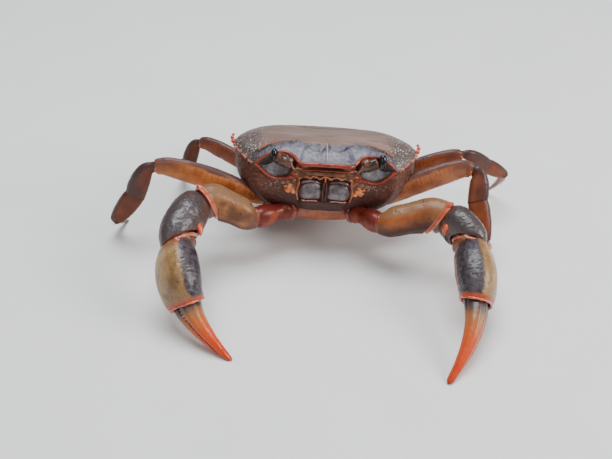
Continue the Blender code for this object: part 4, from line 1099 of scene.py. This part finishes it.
def limbRings(start, end, ways, frameOf, sizes, columns=56, side=1, sideBow=0.0, look=(0, -1, 0)):
    # rings of one limb part along a line that leaves and enters its joints smoothly
    halfHigh, halfThick, bow, rows, table, shape = sizes
    shape = {**limbShape, **shape}
    length, straight = np.linalg.norm(end - start), unit(end - start)
    f = np.linspace(0, 1, rows)
    nearStart, nearEnd = 1 - eased(0, shape["easeIn"], f), eased(1 - shape["easeOut"], 1, f)
    ahead = unit(straight + np.outer(nearStart, ways[0] - straight) + np.outer(nearEnd, ways[1] - straight))
    travel = np.vstack([[0, 0, 0], np.cumsum((ahead[1:] + ahead[:-1]) / 2, axis=0)])
    mid = start + travel * length / (rows - 1)
    mid += np.outer(f, end - mid[-1])
    up, across = frameOf(ahead)
    mid += (up * bow + across * (sideBow * side)) * (4 * f * (1 - f))[:, None]
    high, low, thick = readTable(table, f).T[..., None]
    a, c, s = ringSection(columns, shape["power"])
    keel = 1 + shape["keel"] * (bump(a, 0, 0.25) + bump(a, 2 * pi, 0.25))
    keel += shape["edges"] * (bump(a, pi - 0.55, 0.2) + bump(a, pi + 0.55, 0.2))
    swell = 1 + shape["collar"] * bump(f, 0.975, 0.02)
    for place, depth, span in shape["grooves"]:
        swell -= depth * bump(f, place, span)
    rise = c * keel * np.where(c > 0, high, low) * halfHigh * swell[:, None]
    aside = s * keel * thick * halfThick * swell[:, None]
    out = rise[..., None] * up[:, None] + aside[..., None] * across[:, None]
    # the far end may be cut aslant: its top, its foot or one side reaching further along
    slantUp, slantDown, slantSide = shape["slant"]
    reachOn = rise * np.where(c > 0, slantUp, -slantDown) + aside * slantSide * side
    p = mid[:, None] + out + (reachOn * eased(0.35, 1, f)[:, None])[..., None] * ahead[:, None]
    dorsal, along = np.cos(a), f[:, None]
    facing = np.sin(a) * np.sign(across @ np.array(look, float))[:, None]
    # fine relief: lumps, wrinkles and short ridges across the part beside its back edge
    lump = 0.05 * softNoise(p, 0.5, 2) + 0.02 * softNoise(p, 1.5, 5)
    lump += shape["rugged"] * (softNoise(p, 1.9, 9) + 0.8 * softNoise(p, 3.4, 4)) * eased(-0.7, 0.1, dorsal)
    ridge = np.clip(np.sin(along * length * shape["ridgePitch"] + 2.2 * softNoise(p, 0.8, 7)), 0, 1)
    ridge *= eased(-0.3, 0.6, dorsal) * (1 - eased(0.9, 1.0, dorsal))
    lump += shape["ridges"] * ridge * eased(0.05, 0.2, along) * (1 - eased(0.85, 0.93, along))
    p += lump[..., None] * unit(out)
    # a domed root that tucks into the part before, and a rolled, hollow far lip
    recess = shape["recess"]
    root = [mid[0] + (p[0] - mid[0]) * cos(t) - ahead[0] * (shape["dome"] * sin(t))
            for t in np.linspace(pi / 2 * 0.97, 0.10, 8)]
    lip = [mid[-1] + (p[-1] - mid[-1]) * k + ahead[-1] * d
           for k, d in ((0.985, 0.09), (0.95, 0.14), (0.90, 0.10), (0.865, -0.05), (0.84, -0.4 * recess),
                        (0.80, -recess), (0.5, -recess), (0.1, -recess))]
    paint = {"dorsal": dorsal, "front": withEnds(facing, len(root), len(lip)),
             "along": withEnds(along, len(root), len(lip))}
    return np.concatenate([root, p, lip]), paint, p, mid


def jointSkin(name, point, way, frameOf, high, thick, material, slotName, deep=0.9):
    # the soft skin inside a joint, a lumpy disc between two parts
    up = frameOf(way[None])[0][0]
    up = unit(up - way * (up @ way))
    rings = blob(point, (thick, high, deep), (np.cross(way, up), up, way), rows=20, columns=32)
    rings += (0.10 * softNoise(rings, 1.5, 3))[..., None] * up
    ringPiece(name, rings, material, slotName)


def buildLeg(name):
    side, size, root, runs, last = legs[name]
    points, ways = jointsOf(side, root, runs, last, (0.6, 0.62, 0.5, 0.5))
    heading = radians(runs[1][1])
    faceWay = np.array((side * sin(heading), -cos(heading), 0))

    def frameOf(ahead):
        across = unit(faceWay - ahead * (ahead @ faceWay)[..., None])
        return np.cross(ahead, across) * -side, across

    # the legs behind take the darker copy of the leg's finish as painted shade
    upper = {"leg1_right": "leg", "leg1_left": "legTan"}.get(name, "shadedLegBehind")
    materials = {"coxa": upper, "merus": upper, "carpus": "shin", "propodus": "foot"}
    bristleLines = []
    for index, (part, (halfHigh, halfThick, bow, *rest)) in enumerate(legSizes.items()):
        start, end = points[index] + ways[index] * 0.06, points[index + 1] - ways[index + 1] * 0.16
        big = 1.0 if part == "coxa" else size
        rings, paint, body, mid = limbRings(start, end, ways[index:index + 2], frameOf, (
            halfHigh * big, halfThick * (big * 0.5 + 0.5), bow * big, *rest), look=faceWay)
        ringPiece(f"{name}_{part}Shell", rings, materials[part], "leg", f"{name}_{part}", paint=paint)
        # fine bristles along the upper and lower edges
        if part != "coxa":
            half = body.shape[1] // 2
            for column, low, high in ((0, 0.08, 0.9), (half - 5, 0.15, 0.95), (half + 5, 0.15, 0.95)):
                rows = np.arange(int(low * len(body)), int(high * len(body)))
                away = unit(body[rows, column] - mid[rows]) + unit(end - start) * 0.8
                bristleLines.append((body[rows, column] - away * 0.05, away, 0.8 + 0.2 * (column != 0)))
    rowOf(f"{name}_bristles", bristleLines, "bristle", "leg", 0.5, 0.04, 6.0, 0.45, 0.55, True,
          seed=len(name) + side)
    for index, high, thick in ((1, 1.7, 1.5), (2, 1.9, 1.15), (3, 2.45, 1.2), (4, 1.5, 0.85)):
        jointSkin(f"{name}_jointSkin{index}", points[index], ways[index], frameOf, high * size, thick,
                  "darkSkin", "leg", 0.7)
        if index == 2:
            # the hinge of the knee, a small polished lobe on each face
            up, across = (v[0] for v in frameOf(ways[2][None]))
            for k, face in enumerate((-1, 1)):
                centre = points[2] + across * (face * (thick + 0.12)) - up * 0.35 * size
                lobe = blob(centre, (0.30, 0.85 * size, 0.42), (across, up, ways[2]), 20, 24)
                ringPiece(f"{name}_kneeHinge{k + 1}", lobe, "hinge", "leg")
    buildToe(name, points[4], points[5], faceWay, side, 1.35 * (size * 0.5 + 0.5))


def buildToe(name, root, tip, faceWay, side, thick):
    axis = unit(tip - root)
    front = unit(faceWay - axis * (faceWay @ axis))
    up = np.cross(axis, front) * -side
    start, knee, end = root - axis * 0.5, (root + tip) / 2 + up * 1.5, tip + (0, 0, 0.12)
    toe = grow(f"{name}_toe", bpy.data.meshes.new("carrier"), toeTree, Root=tuple(start * mm),
               Knee=tuple(knee * mm), Tip=tuple(end * mm), Thick=thick * mm, Point=0.2, Rib=0.07,
               Finish=finish["toe"])
    for key, value in (("dorsal", 0.0), ("front", 0.5)):
        addLayer(toe.data, key, np.full(len(toe.data.vertices), value))
    for v in toe.data.vertices:
        v.co.z = max(v.co.z, 0.0)
    settle(toe, "leg_tip", f"{name}_dactylus")
    t = np.linspace(0.12, 0.88, 40)[:, None]
    path = (1 - t) ** 2 * start + 2 * t * (1 - t) * knee + t * t * end
    ways = [up * cos(angle) + front * sin(angle) for angle in (0.8, 2.35, 3.93, 5.5)]
    lines = [(path + way * thick * (1 - 0.78 * t) * 0.92, way * 0.9 + axis * 0.8, np.linspace(1.15, 0.6, 40))
             for way in ways]
    rowOf(f"{name}_toeSpines", lines, "horn", "leg_tip", 1.05, 0.13, 2.8, 0.25, 0.15, True, seed=3)


for name in legs:
    buildLeg(name)
print("legs done")


def uprightFrame(lean):
    # up stays as near upright as the limb allows, then leans over by some degrees
    lean = radians(lean)

    def frameOf(ahead):
        up = unit(-floorWay - ahead * ahead[..., 2:3])
        across = np.cross(ahead, up)
        return up * cos(lean) + across * sin(lean), across * cos(lean) - up * sin(lean)

    return frameOf


def lapped(ring):
    return np.vstack([ring[-1:], ring, ring[:2]])


def edgeBeads(name, rings, mid, rows, columns, size, *look, seed):
    # a row of beads along some columns of a limb part
    lines = [(rings[rows, k], unit(rings[rows, k] - mid[rows]), size) for k in columns]
    rowOf(name, lines, "bead", *look, seed=seed)


def fingerRings(root, tip, up, across, bow, way, half, rows=110, columns=56):
    # one finger, D-shaped in section, its flat biting side against the other's
    axis, belt = unit(tip - root), hand["belt"]
    f = np.linspace(0, 1, rows)
    size = readTable(hand["finger"], f)
    high, thick = hand["fingerHalf"]
    mid = root + np.outer(f, tip - root) + np.outer(4 * f * (1 - f), bow)
    a, c, s = ringSection(columns)
    lift = np.where(c > 0, belt + (1 - belt) * c, belt - belt * np.abs(c) ** 0.4)
    wide = np.where(c > 0, s, np.abs(s) ** 0.4 * np.sign(s))
    groove = 1 - 0.06 * (bump(a, 0.8, 0.15) + bump(a, 2 * pi - 0.8, 0.15))
    edge = 0.05 * np.sin(f * 34 + half) * (1 - eased(0.8, 1, f))
    lift = lift * groove * high * size + 0.05 + edge[:, None] * (c < -0.2)
    p = mid[:, None] + (lift * half)[..., None] * up + (wide * groove * thick * size)[..., None] * across
    # slant the rings to meet the palm at the root and the floor at the tip
    nearRoot, nearTip = np.clip(1 - f / 0.35, 0, None), np.clip(1 - (1 - f) / 0.35, 0, None)
    normal = np.outer(1 - nearRoot - nearTip, axis) + np.outer(nearRoot, way)
    normal = unit(normal + np.outer(nearTip, floorWay))
    off = np.einsum("rcj,rj->rc", p - mid[:, None], normal) / (normal @ axis)[:, None]
    p -= off[..., None] * axis
    p += (0.03 * softNoise(p, 1.3, 2) + 0.05 * softNoise(p, 0.5, 6))[..., None] * up
    p[..., 2] = np.maximum(p[..., 2], 0.0)
    return p, {"dorsal": c * half, "along": f[:, None], "front": c}, mid, size


def buildArm(name):
    side, root, runs, last, lean, handBow, wristWide, palmWide, merusFinish, tooth, knob = arms[name]
    points, ways = jointsOf(side, root, runs, last, (0.6, 0.5, 0.55, 0.5))
    ways[2] = unit(ways[2] + (0, 0, -0.16))
    frameOf = uprightFrame(0)
    for index, (part, material, slotName, wide, gap, bow, look) in enumerate((
            ("base", "armRoot", "arm", 1, 0.15, 0, (0, -1, 0)),
            ("merus", merusFinish, "arm", 1, 0.15, 0, (0, -1, 0)),
            ("carpus", "wrist", "wrist", wristWide, 0.5, -0.5, (side, 0, 0)))):
        start, end = points[index] + ways[index] * 0.1, points[index + 1] - ways[index + 1] * gap
        high, thick, *rest = armSizes[part]
        rings, paint, body, mid = limbRings(start, end, ways[index:index + 2], frameOf,
                                            (high, thick * wide, *rest), 96, side, bow, look)
        ringPiece(f"{name}_{part}Shell", rings, material, slotName, f"{name}_{part}", paint=paint)
        if part == "merus":
            buildMerusTrim(name, body, mid)
        if part == "carpus":
            buildWristTrim(name, side, body, mid, ways[3], tooth, knob)
    for index, high, thick, deep, material in ((0, 3.0, 2.9, 1.2, "membrane"), (1, 2.9, 2.7, 1.0, "membrane"),
                                               (2, 4.4, 3.4, 2.0, "amberSkin"),
                                               (3, 4.3, 4.1, 2.6, "amberSkin")):
        jointSkin(f"{name}_jointSkin{index}", points[index], ways[index], frameOf, high, thick, material,
                  "arm", deep)
    buildHand(name, side, *points[-3:], ways, lean, handBow, palmWide)


def buildMerusTrim(name, body, mid):
    # beads along the edges, a knob at the upper far corner, and the double rim round the far end
    rows, half = np.arange(10, int(0.88 * len(body))), body.shape[1] // 2
    edgeBeads(f"{name}_merusBeads", body, mid, rows, (0, half - 8, half + 8),
              np.linspace(0.6, 1.2, len(rows)), "arm", 0.75, 0.15, 1.0, 0.35, 0.3, seed=7)
    ahead = unit(mid[-1] - mid[-4])
    for k, (row, thick) in enumerate(((-1, 0.42), (-9, 0.26))):
        loop = lapped(body[row])
        wide = thick * (1 + 0.2 * np.sin(np.arange(len(loop)) * 0.5))
        ringPiece(f"{name}_merusRim{k + 1}", tubeAlong(loop, wide, thick, ahead, 16), "knuckle", "arm")
    corner = body[-6, 2]
    way, t = unit(corner - mid[-6]), np.linspace(0, 1, 22)
    path = corner - way * 0.5 + np.outer(t, way * 1.5 + ahead * 0.7)
    thick = 0.75 * (1 - t ** 1.7 * 0.85)
    ringPiece(f"{name}_merusTooth", tubeAlong(path, thick, thick, ahead, 20), "knuckle", "arm")


def buildWristTrim(name, side, body, mid, way, tooth, knob):
    # the inner tooth, and the pale band and knob that the hand turns on
    columns = body.shape[1]
    angle = np.arange(columns) / columns * 2 * pi
    outer = np.sign((body[-20] - mid[-20])[:, 0] * side)
    inner = int(np.argmin(np.where(outer < 0, np.abs(np.cos(angle) - 0.10), 9)))
    row, depth, reach = tooth
    corner, ahead = body[row, inner], unit(mid[-1] - mid[-6])
    away, t = unit(corner - mid[row]), np.linspace(0, 1, 30)
    path = corner - away * depth - ahead * 1.6 + np.outer(t, away * 1.3 + ahead * reach)
    path += np.outer(np.sin(t * pi) * 0.35, away)
    thick = 1.15 * np.interp(t, [0, .25, .55, .85, 1], [.6, 1, .82, .4, .12])
    ringPiece(f"{name}_wristTooth", tubeAlong(path, thick, thick * 0.9, away, 24), "knuckle", "arm")
    # the band runs over the top from the tooth's side to the outer side
    arc = [k for k in np.argsort(np.where(angle > pi, angle - 2 * pi, angle)) if np.cos(angle[k]) > -0.15]
    loop = mid[-1] + (body[-1, arc] - mid[-1]) * 0.86 + way * 1.25
    thick = 0.62 * roundEnds(len(loop), 0.10)
    ringPiece(f"{name}_wristBand", tubeAlong(loop, thick, thick * 0.8, way, 20), "salmon", "arm")
    k = [j for j in arc if outer[j] > 0 and abs(np.cos(angle[j]) - knob[0]) < 0.05][0]
    place = mid[-1] + (body[-1, k] - mid[-1]) * 0.92 + way * knob[1]
    ringPiece(f"{name}_wristKnob", blob(place, (0.95, 0.95, 0.95), rows=28, columns=32), "knuckle", "arm")


def buildHand(name, side, wrist, knuckle, tip, ways, lean, handBow, palmWide):
    high, thick, *rest = armSizes["palm"]
    rings, paint, body, mid = limbRings(wrist + ways[3] * 0.2, knuckle - ways[4] * 0.1, ways[3:5],
                                        uprightFrame(lean), (high, thick * palmWide, *rest), 110, side,
                                        -handBow, (side, 0, 0))
    ringPiece(f"{name}_palmShell", rings, "hand", "hand", f"{name}_palm", paint=paint)
    rim = mid[-1] + (lapped(body[-1]) - mid[-1]) * 0.985
    thick = 0.30 * (1 + 0.15 * np.sin(np.arange(len(rim)) * 0.7))
    ringPiece(f"{name}_palmRim", tubeAlong(rim, thick, thick, ways[4], 16), "knuckle", "hand")
    # fine grains along the inner edge of the dark top
    cosine = np.cos(np.arange(body.shape[1]) / body.shape[1] * 2 * pi)
    inside = np.flatnonzero((paint["front"][60] < 0) & (np.abs(cosine - 0.60) < 0.045))[0]
    edgeBeads(f"{name}_palmGrains", body, mid, np.arange(14, 150), (inside - 1, inside + 1), 0.8,
              "hand", 0.5, 0.13, 0.9, 0.4, 0.3, seed=5)
    frameOf = uprightFrame(lean / 3)
    up, across = (v[0] for v in frameOf(unit(tip - knuckle)[None]))
    bow = up * hand["rise"] + (side * hand["bow"], 0, 0)
    teeth = []
    for part, slotName, half, nodes in (("fixedFinger", "hand", -1, []),
                                        ("movingFinger", "finger", 1, [f"{name}_finger"])):
        p, paint, line, size = fingerRings(knuckle, tip, up, across, bow, ways[4], half)
        ringPiece(f"{name}_{part}", p, "finger", slotName, *nodes, paint=paint)
        taper = np.interp(np.linspace(0, 1, len(line)), [0, 0.15, 0.5, 1], [0.6, 1.15, 0.9, 0.35])
        for edge in (-1, 1):
            spots = line + across * (edge * hand["fingerHalf"][1] * 0.90) * size + up * (0.26 * half)
            teeth.append((spots[5:-8], up * -half + across * edge * 0.5, taper[5:-8]))
    rowOf(f"{name}_teeth", teeth, "tooth", "finger", 0.9, 0.22, 1.0, 0.35, 0.1, seed=11)
    jointSkin(f"{name}_fingerSkin", knuckle, ways[4], frameOf, 4.0, 3.1, "darkSkin", "hand")


for name in arms:
    buildArm(name)
print("arms done")


# underside

breast = {"outline": [(0, -12.3), (4.4, -11.9), (8.0, -9.8), (10.4, -5.6), (11.2, -0.6), (10.4, 4.6),
                      (8.0, 9.4), (4.4, 11.6), (0, 11.9)],
          "under": [(-12.3, -14.8), (-11.2, -17.6), (-9.4, -19.6), (-5.0, -19.8), (2.0, -18.4), (8.0, -15.6),
                    (11.9, -12.4)],
          "top": -8.9, "sutures": (-8.6, -5.2, -1.6, 2.2, 6.0), "sutureDepth": 0.45,
          # (half width, y) of the tail's folded part, then (half width, y, z) of the part behind
          "tail": [(1.1, -3.6), (2.0, -1.6), (2.9, 2.6), (4.1, 7.0)],
          "tailRear": [(5.3, 12.0, -13.2), (6.3, 15.4, -11.4), (6.9, 18.0, -8.6), (7.3, 19.5, -5.2)]}


def underAt(y):
    return np.interp(y, *np.array(breast["under"]).T)


def buildBreast():
    loop = mirroredHalf([(a, b, 0) for a, b in breast["outline"]], 16)
    top, down = np.array((0, 0, breast["top"])), (underAt(loop[:, 1]) - breast["top"])[:, None] * (0, 0, 1)
    rings = [loop * scale + top + down * depth for depth, scale in (
        (0, 0.86), (0.15, 0.9), (0.3, 0.93), (0.45, 0.97), (0.6, 1.0), (0.78, 0.99), (0.9, 0.95))]
    for scale in np.linspace(0.92, 0.02, 60):
        ring = loop * scale
        ring[:, 2] = underAt(ring[:, 1]) + 0.9 * (scale / 0.92) ** 6
        rings.append(ring)
    p = np.array(rings)
    side = np.abs(p[..., 0])
    cut = sum(bump(p[..., 1] - 0.25 * side, y, 0.28) for y in breast["sutures"]) * eased(2.2, 3.4, side)
    middle = bump(side, 0, 0.3) * 0.5
    p[..., 2] += breast["sutureDepth"] * np.clip(cut + middle, 0, 1) * (p[..., 2] < -11)
    p[..., 2] -= 0.05 * softNoise(p, 0.9, 3)
    ringPiece("breastPlate", p, "breast", "breast", "sternum", paint={"rim": np.clip(cut, 0, 1)}, side=1)


def buildTail():
    # the narrow folded tail: seven plates from its tip under the breast to the shell's rear edge
    line = smoothLine([(w, y, underAt(y) - 0.9) for w, y in breast["tail"]] + breast["tailRear"], 20)
    edges = np.linspace(0, len(line) - 1, 8).astype(int)
    t, gap = np.linspace(0, 1, 30), roundEnds(30, 0.10)
    for k, (a, b) in enumerate(zip(edges, edges[1:])):
        w, y, z = (np.interp(t, np.linspace(0, 1, b + 1 - a), values) for values in line[a:b + 1].T)
        centre = np.stack([0 * y, y, z], -1)
        up = unit(np.cross((1, 0, 0), np.gradient(centre, axis=0)))
        deep = 0.8 if k > 3 else 0.0
        rings = tubeAlong(centre + up * deep, w * (0.9 + 0.1 * gap), (0.62 + deep) * gap, up, 48, 3.2)
        rings += (0.03 * softNoise(rings, 1.4, 4))[..., None]
        ringPiece(f"tailPlate{k + 1}", rings, "breast", "breast", *(["abdomen"] if k == 0 else []),
                  paint={"rim": 1 - np.clip(gap * 1.2, 0, 1)[:, None]}, side=1)


buildBreast()
buildTail()
print("underside done")


# stage

stage = {
    "floor": (0.80, 0.795, 0.78), "world": (0.93, 0.95, 1.0), "worldStrength": 0.27,
    "azimuth": -1.1, "elevation": 38.0, "roll": 1.93, "distance": 253.28, "view": 40.0,
    "aim": (-4.32, 0.0, -6.51), "lamps": {
        # place, size and power of each soft lamp, and its colour
        "overhead": ((-0.03, 0.08, 0.62), 0.40, 5.3, (0.92, 0.96, 1.0)),
        "front": ((-0.20, -0.45, 0.42), 0.35, 0.5, (1.0, 0.97, 0.93)),
        "side": ((0.50, -0.16, 0.34), 0.30, 3.1, (1.0, 0.98, 0.95))},
}


def buildStage():
    bpy.ops.mesh.primitive_plane_add(size=3.0)
    floor = bpy.context.object
    floor.name = "floor"
    f = Finish("paleFloor", 0.85)
    f.colour = f.mix(f.step(f.noise(30), 0.3, 0.7), tuple(0.97 * v for v in stage["floor"]), stage["floor"])
    floor.data.materials.append(f.done())
    world = bpy.data.worlds.new("studio")
    world.use_nodes = True
    sky = world.node_tree.nodes["Background"].inputs
    sky["Color"].default_value, sky["Strength"].default_value = (*stage["world"], 1), stage["worldStrength"]
    bpy.context.scene.world = world
    for name, (place, size, power, colour) in stage["lamps"].items():
        data = bpy.data.lights.new(name, "AREA")
        data.energy, data.size, data.color = power, size, colour
        lamp = linked(name, data)
        lamp.location = place
        lamp.rotation_euler = (Vector((0, 0, 0.01)) - Vector(place)).to_track_quat("-Z", "Y").to_euler()
    az, el = radians(stage["azimuth"]), radians(stage["elevation"])
    shift = bodyPlace.translation - Vector((0, 0, stance["bodyHeight"]))
    aim = Vector(stage["aim"]) + Vector((shift.x, shift.y, 0))
    away = Vector((sin(az) * cos(el), -cos(az) * cos(el), sin(el)))
    data = bpy.data.cameras.new("camera")
    data.lens = 18 / tan(radians(stage["view"] / 2))
    data.sensor_width = 36
    camera = linked("camera", data)
    camera.location = (aim + away * stage["distance"]) * mm
    turned = (-away).to_track_quat("-Z", "Y").to_matrix() @ Matrix.Rotation(radians(stage["roll"]), 3, "Z")
    camera.rotation_euler = turned.to_euler()
    bpy.context.scene.camera = camera


buildStage()
print("stage done")
